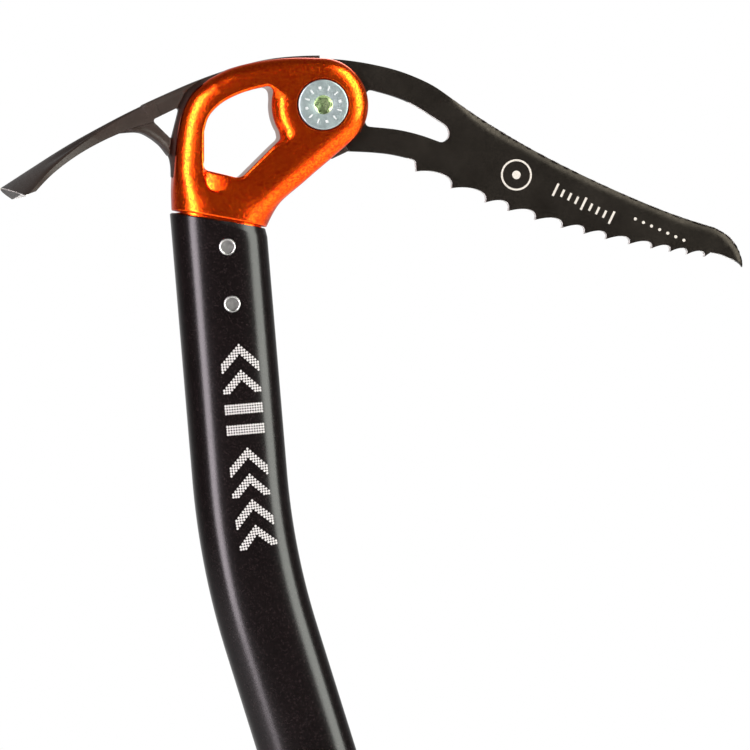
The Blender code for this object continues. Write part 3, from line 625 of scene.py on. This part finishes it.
nylon = moulded("nylon_black", (0.016, 0.016, 0.016), (0.03, 0.03, 0.029), 0.45, grain=1900.0, bump=0.3)
liner_rubber = moulded(
    "liner_rubber", (0.01, 0.01, 0.01), (0.02, 0.02, 0.02), 0.75, grain=1600.0, bump=0.4, specular=0.25
)
screw_steel = steel("screw_steel", (0.45, 0.45, 0.44), (0.62, 0.62, 0.6), 0.28)
spike_steel = steel("spike_steel", (0.34, 0.34, 0.33), (0.52, 0.52, 0.5), 0.34, (1.0, 1.0, 7.0))


# ---------------------------------------------------------------- head


def eye_outline():
    """The large eye through the head."""
    start = through([(-42.0, -9.5), (-40.3, -4.2), (-36.0, 0.3), (-29.8, 3.6), (-23.2, 5.7)], 8)
    upper = corner((-23.2, 5.7), (-17.5, 6.9), (-17.9, 0.0), 2.2)
    wall = arc((0, 0), 17.9, 175, 211, 14)
    lower = corner(wall[-1], (-14.8, -11.7), (-28.0, -25.6), 1.6)
    floor = corner((-17.2, -12.2), (-28.9, -26.0), (-42.0, -22.8), 3.8)
    side = corner((-28.9, -26.0), (-42.0, -22.8), (-42.0, -9.5), 2.4)
    return start + upper + wall + lower + floor + side


# where the scooped ramp below the eye's lower left corner starts to fall
RAMP_RIM = through(
    [(-42.3, -22.2), (-42.2, -26.0), (-41.4, -29.0), (-39.2, -30.9), (-35.6, -30.9), (-32.0, -29.0)], 8
)
MOUTH_LEFT = (-52.5, -36.9)
MOUTH_RIGHT = (-19.2, -42.8)


def head_sides():
    """The head's outline without its mouth, from the mouth's right end round to its left end."""
    right = through([MOUTH_RIGHT, (-14.6, -34.4), (-6.2, -26.9), (-2.8, -23.9)], 10)
    boss = arc((0, 0), 16.5, -51, 92, 56)
    crown = through([(-0.6, 16.5), (-11.5, 16.5), (-22.0, 15.3), (-32.0, 12.8), (-40.0, 8.9)], 10)
    side = through([(-40.0, 8.9), (-46.0, 3.6), (-49.8, -4.5), (-51.4, -14.0), (-52.0, -22.0)], 10)
    left = through([(-52.0, -22.0), (-52.3, -26.0), (-52.6, -31.0), MOUTH_LEFT], 8)
    return right + boss + crown[1:] + side[1:] + left[1:]


def edge_drop(away, across, depth):
    """The fall of an elliptical rounding, across wide and depth deep, at a distance from the edge."""
    t = np.clip(1 - away / across, 0.0, 1.0)
    return depth * (1 - np.sqrt(np.maximum(1 - t * t, 0.0)))


def head_heights(points):
    """The head's faces: rounded at the outline and the eye, fuller at the mouth, with the ramp sunk in."""
    x, z = points[:, 0], points[:, 1]
    away = distance(points, [head_sides()], False)
    mouth = np.array(MOUTH_RIGHT) - np.array(MOUTH_LEFT)
    mouth /= np.linalg.norm(mouth)
    above = (points - np.array(MOUTH_LEFT)) @ np.array([-mouth[1], mouth[0]])
    across = 8.0 + 1.4 * blend((-x - 36.0) / 8.0)
    forged = HEAD_HALF - edge_drop(away, across, 4.7)
    u = np.clip(1 - away / 16.9, 0.0, 1.0)
    tubular = MOUTH_HALF * (1 - u**OVAL_POWER) ** (1 / OVAL_POWER)
    height = forged + (tubular - forged) * blend(1 - (above - 1.0) / 15.0)
    eye = distance(points, [eye_outline()])
    soft = blend((x + 22.0) / 4.0) * blend((z + 15.0) / 5.0) * blend((6.5 - z) / 5.0)
    height -= edge_drop(eye, 1.2 + 5.8 * soft, 0.8 + 3.6 * soft)
    ramp = inside(points, [RAMP_RIM + [(-29.0, -20.0), (-42.0, -20.0)]])
    wall = blend(distance(points, [RAMP_RIM], False) / 0.9)
    floor = 2.3 * np.clip((-33.0 - x) / 9.2, 0.0, 1.0) ** 1.4
    height -= np.where(ramp, floor * wall, 0.0)
    height -= edge_drop(above, 0.7, 0.6)
    height = np.maximum(height, 0.35)
    return height, height


def slot_hub(radius, start, end):
    """The slot's round end about the pick bolt, or the edge of the plate in it."""
    return arc((0, 0), radius, start, end, 28)


def slot_inner(clear):
    """The slot's inner wall, or the edge of the plate that stands clear of it."""
    keys = [
        (-45.3 - clear, -25.6 + clear),
        (-45.2 - clear, -9.0),
        (-43.0 - clear, -1.6),
        (-37.8, 4.1 + clear),
        (-30.4, 7.6 + clear),
        (-21.0, 9.8 + clear),
    ]
    return through(keys, 6)


def ride(obj, material, body, *nodes, slot=None):
    """The piece gets its finish and its body, and stands for its CAD nodes."""
    obj.data.materials.clear()
    for one in material if isinstance(material, tuple) else (material,):
        obj.data.materials.append(one)
    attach(obj, body)
    if nodes:
        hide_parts(*nodes)
    return obj


def in_outline(face):
    """A face's centre as (x, z) in millimetres from the pick bolt."""
    return face.center.x / MM + EYE_CROWN[0], face.center.z / MM + EYE_CROWN[1]


def build_head():
    outline = evened(head_sides(), 0.7)
    rims = [RAMP_RIM[6:]] + [inset(RAMP_RIM, away)[8:-1] for away in (0.45, 0.9)]
    made = slab([outline, eye_outline()], head_heights, step=0.6, rings=(0.1, 0.3, 0.6, 0.95), lines=rims)
    head = solid("head_forging", made)
    outside = [(4.6, -24.0), (40.0, -30.0), (40.0, 40.0), (-70.0, 40.0), (-70.0, -25.6)]
    slot = slot_hub(SLOT_HUB_R, 131, 281) + outside + slot_inner(0.0)
    cutters = [solid("cut_slot", plate([slot], SLOT_HALF))]
    for side, hole in ((-1, BOLT_HOLE_R), (1, NUT_HOLE_R)):
        profile = [(12.0, 14.0), (12.0, 9.45), (9.95, 9.45), (COUNTERBORE_R, 8.72)]
        profile += [(COUNTERBORE_R, COUNTERBORE_FLOOR), (hole, COUNTERBORE_FLOOR), (hole, 1.0)]
        cutters.append(solid(f"cut_bore_{side + 1}", turned([(r, side * y) for r, y in profile], 72)))
    combine(head, cutters)
    tang = solid("tang", loft([tube_ring(run, TUBE_W - 3.6, TUBE_D - 3.6) for run in (-4.0, 40.0)]))
    combine(head, [tang], "UNION")
    ride(head, (orange, eye_wall_painted_reflection), "axe", "head_body")
    # Faces on the eye's walls take the paler finish, a painted reflection.
    near = distance(np.array([in_outline(face) for face in head.data.polygons]), [eye_outline()])
    for face, away in zip(head.data.polygons, near):
        if away < 0.06 and abs(face.normal.y) < 0.2:
            face.material_index = 1


# ---------------------------------------------------------------- blades


def spine(t):
    """The adze's upper edge from the side, from the boss (0) to the cutting edge (1)."""
    p0, p1, p2, p3 = (-0.4, 17.5), (-34.8, 17.5), (-69.5, -1.3), (-112.7, -29.4)
    weights = ((1 - t) ** 3, 3 * (1 - t) ** 2 * t, 3 * (1 - t) * t * t, t**3)
    x, z = (sum(w * p[k] for w, p in zip(weights, (p0, p1, p2, p3))) for k in (0, 1))
    for at, wide, more in ((-20.0, 10.0, 0.32), (-53.0, 10.0, -0.22), (-90.0, 11.0, 0.3)):
        z += more * math.exp(-(((x - at) / wide) ** 2))
    return x, z


def spine_run(start, end, steps):
    return [spine(start + (end - start) * i / steps) for i in range(steps + 1)]


def blade_sections():
    """The adze's scooped blade: rings across Y, square to its top edge."""
    rings = []
    count = 26
    start, length = 0.555, 0.445
    bevel_start, bevel_length = 0.97, 0.03
    root_half_width = 4.75
    stations = [start + 0.415 * i / 29 for i in range(30)] + [0.9775, 0.985, 0.9925, 1.0]
    for t in stations:
        u = (t - start) / length
        x, z = spine(t)
        x2, z2 = spine(t + 0.01)
        x1, z1 = spine(t - 0.01)
        along = Vector((x2 - x1, z2 - z1)).normalized()
        down = Vector((-along.y, along.x))
        down = -down if down.y > 0 else down
        width = root_half_width + (BLADE_HALF_WIDTH - root_half_width) * u**2.6
        thick = 2.3 + 5.4 * (1 - u) ** 2.3
        bevel = max(0.0, (t - bevel_start) / bevel_length)
        thick = thick + (0.5 - thick) * bevel
        top, low = [], []
        for i in range(count + 1):
            f = -math.cos(math.pi * i / count)
            sink = 5.9 * u**2.2 * f * f + 0.3 * (1 - u) ** 4
            back = EDGE_BACK * blend((u - 0.7) / 0.3) * f * f
            round_off = 0.5 * max(0.0, (abs(f) - 0.9) / 0.1) ** 2
            groove = 1.1 * math.exp(-(((abs(f) - 0.62) / 0.2) ** 2))
            groove = groove * blend(u / 0.2) * blend((0.85 - u) / 0.3)
            for store, extra in ((top, round_off + groove), (low, thick - round_off)):
                p = Vector((x, z)) + down * (sink + extra) - along * float(back)
                store.append((p.x, f * width, p.y))
        rings.append(top + low[::-1])
    return rings


ARM_TOP = spine_run(0.405, 0.585, 14)
ARM_UNDER = through([(-71.8, -10.2), (-65.3, -9.7), (-61.6, -10.7), (-57.0, -13.9), (-53.8, -17.8)], 8)
WINDOW = polygon([(-59.9, -5.5, 0.9), (-49.8, -0.6, 0.9), (-52.8, -12.4, 0.8)])


def arm_outline():
    return ARM_TOP + ARM_UNDER + [(-53.0, -11.5), (-50.9, -1.0), (-48.4, 3.9)]


def arm_heights(points):
    """The arm's faces: a flange along the top, a shallow pocket, rounded edges, thinner at the blade."""
    away = distance(points, [arm_outline(), WINDOW])
    top = distance(points, [ARM_TOP], False)
    under = distance(points, [ARM_UNDER], False)
    pocket = blend((top - 0.9) / 1.0) * blend((under - 0.9) / 1.0) * blend((points[:, 0] + 73.0) / 8.0)
    taper = blend((-66.0 - points[:, 0]) / 4.5)
    height = ARM_HALF - edge_drop(away, 0.6, 0.5) - 0.7 * pocket - 0.5 * taper
    return height, height


def adze_plate_outline():
    nose = [(4.1, -18.75), (9.9, -16.0), *arc((0, 0), LAP_R, -58, 91.5, 16)]
    top = spine_run(0.0, 0.5, 40)
    under = through([(-57.0, -13.9), (-53.9, -17.6), (-52.9, -21.0), (-52.7, -25.3)], 6)
    return nose + top + under + slot_inner(PLATE_GAP) + slot_hub(SLOT_HUB_R - PLATE_GAP, 127, 282.5)


def lapped(points, half):
    """Full thickness, and only the lap's own half within the lap's circle."""
    return np.where(np.hypot(points[:, 0], points[:, 1]) < LAP_RECESS_R, -0.15, half)


def adze_plate_heights(points):
    away = distance(points, [adze_plate_outline()])
    half = PLATE_HALF - edge_drop(away, 0.3, 0.25)
    return lapped(points, half), half


def build_adze():
    made = slab([adze_plate_outline()], adze_plate_heights, step=1.6, rings=(0.12, 0.3))
    adze = solid("adze_forging", made)
    arm = solid("adze_arm", slab([arm_outline()], arm_heights, step=0.7, rings=(0.1, 0.3, 0.6)))
    blade = solid("adze_blade", loft(blade_sections()))
    combine(adze, [arm, blade], "UNION", "MANIFOLD")
    combine(adze, [solid("cut_window", plate([WINDOW], 9.0))])
    ride(adze, (adze_black, ground), "axe", "adze")
    edge = Vector(spine(EDGE_GROUND))
    along = (Vector(spine(1.0)) - edge).normalized()
    for face in adze.data.polygons:
        swept = EDGE_BACK * (face.center.y / MM / BLADE_HALF_WIDTH) ** 2
        if (Vector(in_outline(face)) - edge).dot(along) + swept > 0.0 and face.normal.z < -0.2:
            face.material_index = 1


def teeth(points_per_notch):
    """The pick's toothed edge, from the first tooth's tip to the last one's."""
    reach = sum(TOOTH_PITCHES)
    (first, first_z), (hold, hold_z), last_z = (34.0, -23.1), (78.0, -45.3), -52.9

    def tip(x):
        """The height of the curve through the tips."""
        t = (x - first) / reach
        a, b = first - 2 * hold + first + reach, 2 * (hold - first)
        k = (-b + math.sqrt(b * b + 4 * a * t * reach)) / (2 * a)
        return (1 - k) ** 2 * first_z + 2 * k * (1 - k) * hold_z + k * k * last_z

    points = []
    x = first
    for i, pitch in enumerate(TOOTH_PITCHES):
        share = i / (len(TOOTH_PITCHES) - 1)
        wall = 4.6 - 2.3 * share
        rise = 0.9 + 0.4 * share
        foot = (x + pitch + 0.2, tip(x + pitch) + 0.35 * wall)
        shoulder = (x + pitch, tip(x + pitch) + wall + 0.6)
        points += bezier((x, tip(x)), (x + 0.4 * pitch, tip(x) + rise), shoulder, foot, points_per_notch)
        x += pitch
    points.append((x, tip(x)))
    return points


PICK_TOP = through([(0.0, 16.45), (8.0, 16.0), (17.7, 14.6), (28.4, 12.0), (39.0, 7.6), (47.0, 2.3)], 8)
PICK_BACK = through([(47.0, 2.3), (57.0, -4.4), (71.0, -12.8), (85.2, -20.3), (99.3, -27.0)], 8)
PICK_FORE = through([(99.3, -27.0), (113.6, -33.2), (127.7, -38.6), (140.6, -42.6)], 8)
PICK_NOSE = through([(140.6, -42.6), (145.6, -45.6), (148.9, -49.9), (150.38, -54.4), (150.48, -56.5)], 8)
BEVEL_LINE = through(
    [(46.6, 2.0), (53.2, -4.4), (61.9, -10.6), (71.9, -15.9), (85.2, -22.9), (100.0, -29.6), (113.6, -35.4),
     (129.5, -41.6), (141.4, -45.2), (146.6, -50.0), (148.9, -54.4)], 6
)


def pick_outline():
    point = through([(150.48, -56.5), (149.1, -54.9), (145.9, -53.4), (142.3, -52.0), (139.0, -51.4)], 5)
    under = corner((31.8, -18.6), (33.7, -19.2), (34.0, -23.1), 1.2, 5)
    rear = through([(10.3, -16.1), (17.7, -16.4), (24.8, -17.1), (31.0, -18.4)], 6)
    hub = arc((0, 0), LAP_R, 90, 303, 22)
    spine_edge = PICK_TOP + PICK_BACK[1:] + PICK_FORE[1:] + PICK_NOSE[1:-1]
    return hub + rear + under + teeth(16) + point[::-1] + spine_edge[::-1]


def pick_slot():
    upper = through([(18.5, 5.4), (26.0, 3.3), (33.0, 0.4), (42.0, -5.2), (43.9, -6.4)], 6)
    end = bezier((43.9, -6.4), (46.9, -8.6), (46.0, -13.2), (42.3, -12.7), 12)
    lower = through([(42.3, -12.7), (35.0, -10.2), (27.0, -8.4), (18.2, -7.5)], 6)
    close = bezier((18.2, -7.5), (15.4, -7.4), (15.8, -6.0), (15.6, -3.0), 8)
    rise = bezier((15.6, -3.0), (15.5, 3.4), (15.6, 5.9), (18.5, 5.4), 8)
    return upper + end[1:] + lower[1:] + close[1:] + rise[1:-1]


def pick_heights(points):
    """Flat faces, a ground bevel along the spine and softly broken edges."""
    band = BEVEL_LINE + (PICK_TOP[-1:] + PICK_BACK[1:] + PICK_FORE[1:] + PICK_NOSE[1:])[::-1]
    on_bevel = inside(points, [band])
    fall = np.minimum(distance(points, [BEVEL_LINE], False) * 0.42, 1.15)
    away = distance(points, [pick_outline(), pick_slot()])
    half = PLATE_HALF - np.where(on_bevel, fall, 0.0) - edge_drop(away, 0.22, 0.2)
    return half, lapped(points, half)


def build_pick():
    loops = [pick_outline(), pick_slot()]
    made = slab(loops, pick_heights, step=1.3, rings=(0.1, 0.24), lines=[BEVEL_LINE])
    pick = solid("pick_plate", made, smooth=24)
    ride(pick, (pick_black, ground), "axe", "pick")
    for face in pick.data.polygons:
        x = in_outline(face)[0]
        wall = abs(face.normal.y) < 0.5
        if wall and 31.0 < x < 148.0 and (face.normal.z < 0.35 or face.normal.x < -0.7):
            face.material_index = 1


def build_pick_marks():
    """Plain marks etched on the pick's faces: a ring, a row of ticks and a row of dots. No letters."""
    for side in (-1, 1):
        made = bmesh.new()
        ring = (69.5, -24.2)
        groups = [[arc(ring, 5.5, 0, 360, 64)[:-1], arc(ring, 4.85, 0, 360, 64)[:-1]]]
        groups.append([arc(ring, 1.5, 0, 360, 32)[:-1]])
        slope = math.radians(-26.0)
        for i in range(9):
            at = Vector((83.5 + 2.5 * i, -29.4 - 1.22 * i))
            tall = Vector((-math.sin(slope), math.cos(slope))) * (2.4 if i % 4 == 0 else 1.4)
            wide = Vector((math.cos(slope), math.sin(slope))) * 0.4
            corners = (at + tall + wide, at + tall - wide, at - tall - wide, at - tall + wide)
            groups.append([[tuple(point) for point in corners]])
        for i in range(7):
            groups.append([arc((112.0 + 2.9 * i, -39.6 - 1.25 * i), 0.55, 0, 360, 20)[:-1]])
        for loops in groups:
            gather(made, plate(loops, MARK_HALF), side * (PLATE_HALF + MARK_HALF))
        name = "pick_marks_front" if side < 0 else "pick_marks_rear"
        ride(solid(name, made), laser_mark, "axe", slot="pick")


# ---------------------------------------------------------------- bolt, nut and washer


def build_bolt():
    face = -HEAD_HALF
    profile = [
        (0.05, face + 2.5),
        (1.2, face + 2.25),
        hexagon(HEX_ACROSS - 0.1, face + 2.05, 72),
        hexagon(HEX_ACROSS, face + 0.45, 72),
        (3.15, face + 0.08),
        (3.35, face),
        (8.2, face),
        (8.45, face + 0.04),
        (8.7, face + 0.16),
        (FLANGE_R, face + 0.4),
        (FLANGE_R, face + 2.4),
        (4.0, face + 2.4),
        (4.0, 6.7),
        (3.5, 7.2),
    ]
    bolt = solid("pick_bolt_turned", turned(profile, 72))
    ride(bolt, (zinc, socket_zinc), "bolt", "pick_bolt")
    for facet in bolt.data.polygons:
        if facet.center.y < (face + 3.0) * MM and math.hypot(*in_outline(facet)) < 3.3:
            facet.material_index = 1
    made = bmesh.new()
    tick_circle = 6.0
    for i in range(12):
        turn = math.radians(30.0 * i + 12.0)
        out = Vector((math.cos(turn), math.sin(turn)))
        side = Vector((-out.y, out.x))
        at = out * tick_circle
        long, wide = (0.85, 0.28) if i % 3 else (0.5, 0.5)
        corners = ((1, 1), (-1, 1), (-1, -1), (1, -1))
        loop = [tuple(at + out * long * a + side * wide * b) for a, b in corners]
        gather(made, plate([loop], MARK_HALF), face - 0.002)
    ride(solid("bolt_ticks", made), pale_mark, "bolt", slot="pick_bolt")


# ---------------------------------------------------------------- shaft, rivets and print


def tube_axis(z):
    """Where the tube's centre line is at a height, above the bend."""
    return BEND_CORNER[0] - (z - BEND_CORNER[1]) * math.tan(TOP_ANGLE)


BEND_REACH = BEND_R * math.tan((LOW_ANGLE - TOP_ANGLE) / 2)
BEND_START = (
    BEND_CORNER[0] - BEND_REACH * math.sin(TOP_ANGLE),
    BEND_CORNER[1] + BEND_REACH * math.cos(TOP_ANGLE),
)
BEND_CENTRE = (
    BEND_START[0] + BEND_R * math.cos(TOP_ANGLE),
    BEND_START[1] + BEND_R * math.sin(TOP_ANGLE),
)
UPPER_RUN = (MOUTH_CENTRE_Z - BEND_START[1]) / math.cos(TOP_ANGLE)
BEND_RUN = BEND_R * (LOW_ANGLE - TOP_ANGLE)


def tube_frame(run):
    """A point of the tube's centre line and its angle, a length below the mouth's centre."""
    if run < UPPER_RUN:
        top = (tube_axis(MOUTH_CENTRE_Z), MOUTH_CENTRE_Z)
        return top[0] + run * math.sin(TOP_ANGLE), top[1] - run * math.cos(TOP_ANGLE), TOP_ANGLE
    turn = TOP_ANGLE + (min(run, UPPER_RUN + BEND_RUN) - UPPER_RUN) / BEND_R
    x = BEND_CENTRE[0] - BEND_R * math.cos(turn)
    z = BEND_CENTRE[1] - BEND_R * math.sin(turn)
    past = max(0.0, run - UPPER_RUN - BEND_RUN)
    return x + past * math.sin(turn), z - past * math.cos(turn), turn


def low_point(station):
    """A point of the tube's centre line, a length below the bend."""
    return tube_frame(UPPER_RUN + BEND_RUN + station)[:2]


def rivet_point(below):
    """The middle of a head rivet, a length below the mouth's centre."""
    x, z, turn = tube_frame(below)
    return x + HEAD_RIVET_OFFSET * math.cos(turn), z + HEAD_RIVET_OFFSET * math.sin(turn)


def tube_ring(run, width, depth, slant=0.0, lower=lambda across: 0.0):
    """A ring of the tube's section, cut at a slant and lowered by lower(across)."""
    x, z, turn = tube_frame(run)
    ring = []
    for across, deep in oval(width, depth):
        down = across * math.tan(slant) + lower(across)
        at_x = x + across * math.cos(turn) + down * math.sin(turn)
        at_z = z + across * math.sin(turn) - down * math.cos(turn)
        ring.append((at_x, deep, at_z))
    return ring


def build_shaft():
    end = UPPER_RUN + BEND_RUN + TUBE_END
    runs = [6.0 + (end - 6.0) * i / 130 for i in range(131)]

    def chamfer(across):
        """The width of the chamfer round the tube's top, widest at its right."""
        return 0.5 + 2.4 * float(blend((across / (TUBE_W / 2) + 0.35) / 1.1))

    rings = [
        tube_ring(0.0, TUBE_W - 1.6, TUBE_D - 1.6, MOUTH_SLANT),
        tube_ring(0.0, TUBE_W - 1.0, TUBE_D - 1.0, MOUTH_SLANT, lambda a: 0.08),
        tube_ring(0.0, TUBE_W - 0.12, TUBE_D - 0.12, MOUTH_SLANT, lambda a: chamfer(a) * 0.85),
        tube_ring(0.0, TUBE_W, TUBE_D, MOUTH_SLANT, chamfer),
    ]
    for run in runs:
        squared = float(blend((run - 6.0) / 60.0))
        rings.append(tube_ring(run, TUBE_W, TUBE_D, MOUTH_SLANT * (1 - squared)))
    bore = (TUBE_W - 2 * TUBE_WALL, TUBE_D - 2 * TUBE_WALL)
    rings += [tube_ring(run, *bore) for run in runs[::-3]]
    rings.append(tube_ring(0.0, *bore, MOUTH_SLANT))
    shaft = solid("shaft_tube", loft(rings + rings[:1], False), smooth=40)
    ride(shaft, tube_black, "axe", "shaft")


def build_print():
    """A generic pattern of joined dots on both flat sides of the tube, with no letters.

    The second block is two bars, and each of the others is two chevrons.
    """
    half, cut = PRINT_PITCH / 2, PRINT_PITCH * 0.06
    octagon = [(half, cut), (cut, half), (-cut, half), (-half, cut)]
    octagon += [(-half, -cut), (-cut, -half), (cut, -half), (half, -cut)]
    for side in (-1, 1):
        made = bmesh.new()
        corners = {}

        def vertex(a, b):
            """The print's point at (a, b) on the tube's face, shared by the dots that meet there."""
            key = (round(a * 1000), round(b * 1000))
            if key not in corners:
                across = PRINT_OFFSET + a
                x, z, turn = tube_frame(PRINT_START + b)
                deep = TUBE_D / 2 * (1 - abs(2 * across / TUBE_W) ** OVAL_POWER) ** (1 / OVAL_POWER)
                deep += PRINT_LIFT
                point = (x + across * math.cos(turn), side * deep, z + across * math.sin(turn))
                corners[key] = made.verts.new(point)
            return corners[key]

        middle = PRINT_COLUMNS // 2
        for row in range(PRINT_BLOCKS * PRINT_BLOCK_ROWS):
            block, within = divmod(row, PRINT_BLOCK_ROWS)
            for column in range(PRINT_COLUMNS):
                below = within - abs(column - middle)
                if block == 1:
                    filled = within in (3, 4, 5, 6, 11, 12, 13, 14)
                else:
                    filled = 0 <= below < 14 and below % 10 < 4 and within < 19
                if filled:
                    a, b = (column - middle) * PRINT_PITCH, row * PRINT_PITCH
                    made.faces.new([vertex(a + u, b + v) for u, v in octagon])
        name = "shaft_print_front" if side < 0 else "shaft_print_rear"
        ride(solid(name, made), white_print, "axe", slot="shaft")


def build_rivet(name, node, at, tilt):
    seat = TUBE_D / 2
    half = [(0.02, 0.36), (0.9, 0.42), (2.2, 0.42), (2.45, 0.66), (2.62, 0.72)]
    half += [(2.82, 0.66), (3.0, 0.42), (RIVET_R, 0.12), (RIVET_R, 0.05)]
    profile = [(r, -seat - y) for r, y in half] + [(r, seat + y) for r, y in half[::-1]]
    rivet = solid(name, turned(profile, 48), at, tilt)
    ride(rivet, (rivet_rim, rivet_centre), "axe", node)
    for face in rivet.data.polygons:
        if math.dist(in_outline(face), at) < 2.25:
            face.material_index = 1


CARRIED = {
    "pick_nut": nut_zinc,
    "pick_washer": washer_steel,
    "grip_sleeve": grip_rubber,
    "lower_rest": nylon,
    "lower_rest_screw": screw_steel,
    "trigger_body": nylon,
    "trigger_liner": liner_rubber,
    "trigger_screw": screw_steel,
    "trigger_washer": washer_steel,
    "trigger_nut": screw_steel,
    "spike": spike_steel,
    "spike_plug": nylon,
}


# ---------------------------------------------------------------- studio


def softbox(name, azimuth, elevation, away, width, height, radiance, target, tint=(1.0, 1.0, 1.0)):
    """A soft area light that faces the target. radiance is what its face shows in a mirror."""
    light = bpy.data.lights.new(name, "AREA")
    light.shape = "RECTANGLE"
    light.size = width
    light.size_y = height
    light.energy = radiance * math.pi * width * height
    light.color = tint
    obj = bpy.data.objects.new(name, light)
    a, e = math.radians(azimuth), math.radians(elevation)
    towards = Vector((math.sin(a) * math.cos(e), -math.cos(a) * math.cos(e), math.sin(e)))
    obj.location = target + towards * away
    obj.rotation_euler = towards.to_track_quat("Z", "Y").to_euler()
    obj.visible_camera = False
    bpy.context.scene.collection.objects.link(obj)


def build_studio():
    scene = bpy.context.scene
    scene.view_settings.view_transform = "Standard"
    target = Vector((0.0431, -0.0027, -0.1004))
    away = 3.0
    view_width = 0.26355
    azimuth = math.radians(-8.0)
    camera = bpy.data.cameras.new("camera")
    camera.sensor_width = 36.0
    camera.lens = camera.sensor_width * away / view_width
    camera.clip_end = 50.0
    view = bpy.data.objects.new("camera", camera)
    view.location = target + Vector((math.sin(azimuth), -math.cos(azimuth), 0.0)) * away
    view.rotation_euler = (math.pi / 2, 0.0, azimuth)
    scene.collection.objects.link(view)
    scene.camera = view

    # azimuth and elevation in degrees, then distance, width and height in metres, then radiance
    softbox("softbox_left", -37.0, 10.0, 1.2, 0.32, 1.3, 19.0, target, (1.0, 0.9, 0.97))
    softbox("softbox_right", 51.0, 22.0, 1.2, 0.56, 1.4, 12.0, target, (0.97, 1.0, 0.93))
    softbox("softbox_rear", 150.0, 30.0, 1.6, 1.2, 0.8, 3.0, target)

    # white where the camera sees it, and to everything else dim in front and brighter behind
    world = bpy.data.worlds.new("studio")
    world.use_nodes = True
    scene.world = world
    tree = world.node_tree
    background = tree.nodes["Background"]
    coordinate = tree.nodes.new("ShaderNodeTexCoord")
    split = tree.nodes.new("ShaderNodeSeparateXYZ")
    tree.links.new(coordinate.outputs["Generated"], split.inputs[0])
    spread = tree.nodes.new("ShaderNodeMapRange")
    for socket, number in zip(RANGE_SOCKETS, (0.0, 0.9, 0.13, 0.5)):
        spread.inputs[socket].default_value = number
    tree.links.new(split.outputs["Y"], spread.inputs["Value"])
    path = tree.nodes.new("ShaderNodeLightPath")
    strength = tree.nodes.new("ShaderNodeMix")
    tree.links.new(path.outputs["Is Camera Ray"], strength.inputs[0])
    tree.links.new(spread.outputs["Result"], strength.inputs[2])
    strength.inputs[3].default_value = 1.0
    background.inputs["Color"].default_value = (1.0, 1.0, 1.0, 1.0)
    tree.links.new(strength.outputs[0], background.inputs["Strength"])

    made = bmesh.new()
    bmesh.ops.create_circle(made, cap_ends=True, radius=1.6, segments=96)
    mesh = bpy.data.meshes.new("floor")
    made.to_mesh(mesh)
    made.free()
    floor = bpy.data.objects.new("floor", mesh)
    floor.location = (0.02, 0.0, min(point[2] for point in cad_box) - 0.012)
    paper = Finish("floor_paper", specular=0.2)
    tone = paper.spread(paper.noise(9.0, 3.0), 0.3, 0.7)
    paper.colour(paper.mix(tone, (0.86, 0.86, 0.86), (0.9, 0.9, 0.9)))
    paper.rough(paper.spread(paper.noise(300.0, 2.0), 0.3, 0.7, 0.7, 0.85))
    mesh.materials.append(paper.material)
    scene.collection.objects.link(floor)


build_studio()
build_head()
build_adze()
build_pick()
build_pick_marks()
build_bolt()
build_shaft()
build_print()
build_rivet("head_rivet_upper_turned", "head_rivet_upper", rivet_point(HEAD_RIVETS[0]), TOP_ANGLE)
build_rivet("head_rivet_lower_turned", "head_rivet_lower", rivet_point(HEAD_RIVETS[1]), TOP_ANGLE)
build_rivet("spike_rivet_upper_turned", "spike_rivet_upper", low_point(SPIKE_RIVETS[0]), LOW_ANGLE)
build_rivet("spike_rivet_lower_turned", "spike_rivet_lower", low_point(SPIKE_RIVETS[1]), LOW_ANGLE)
for node, finish in CARRIED.items():
    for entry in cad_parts[node].material_slots:
        entry.material = finish
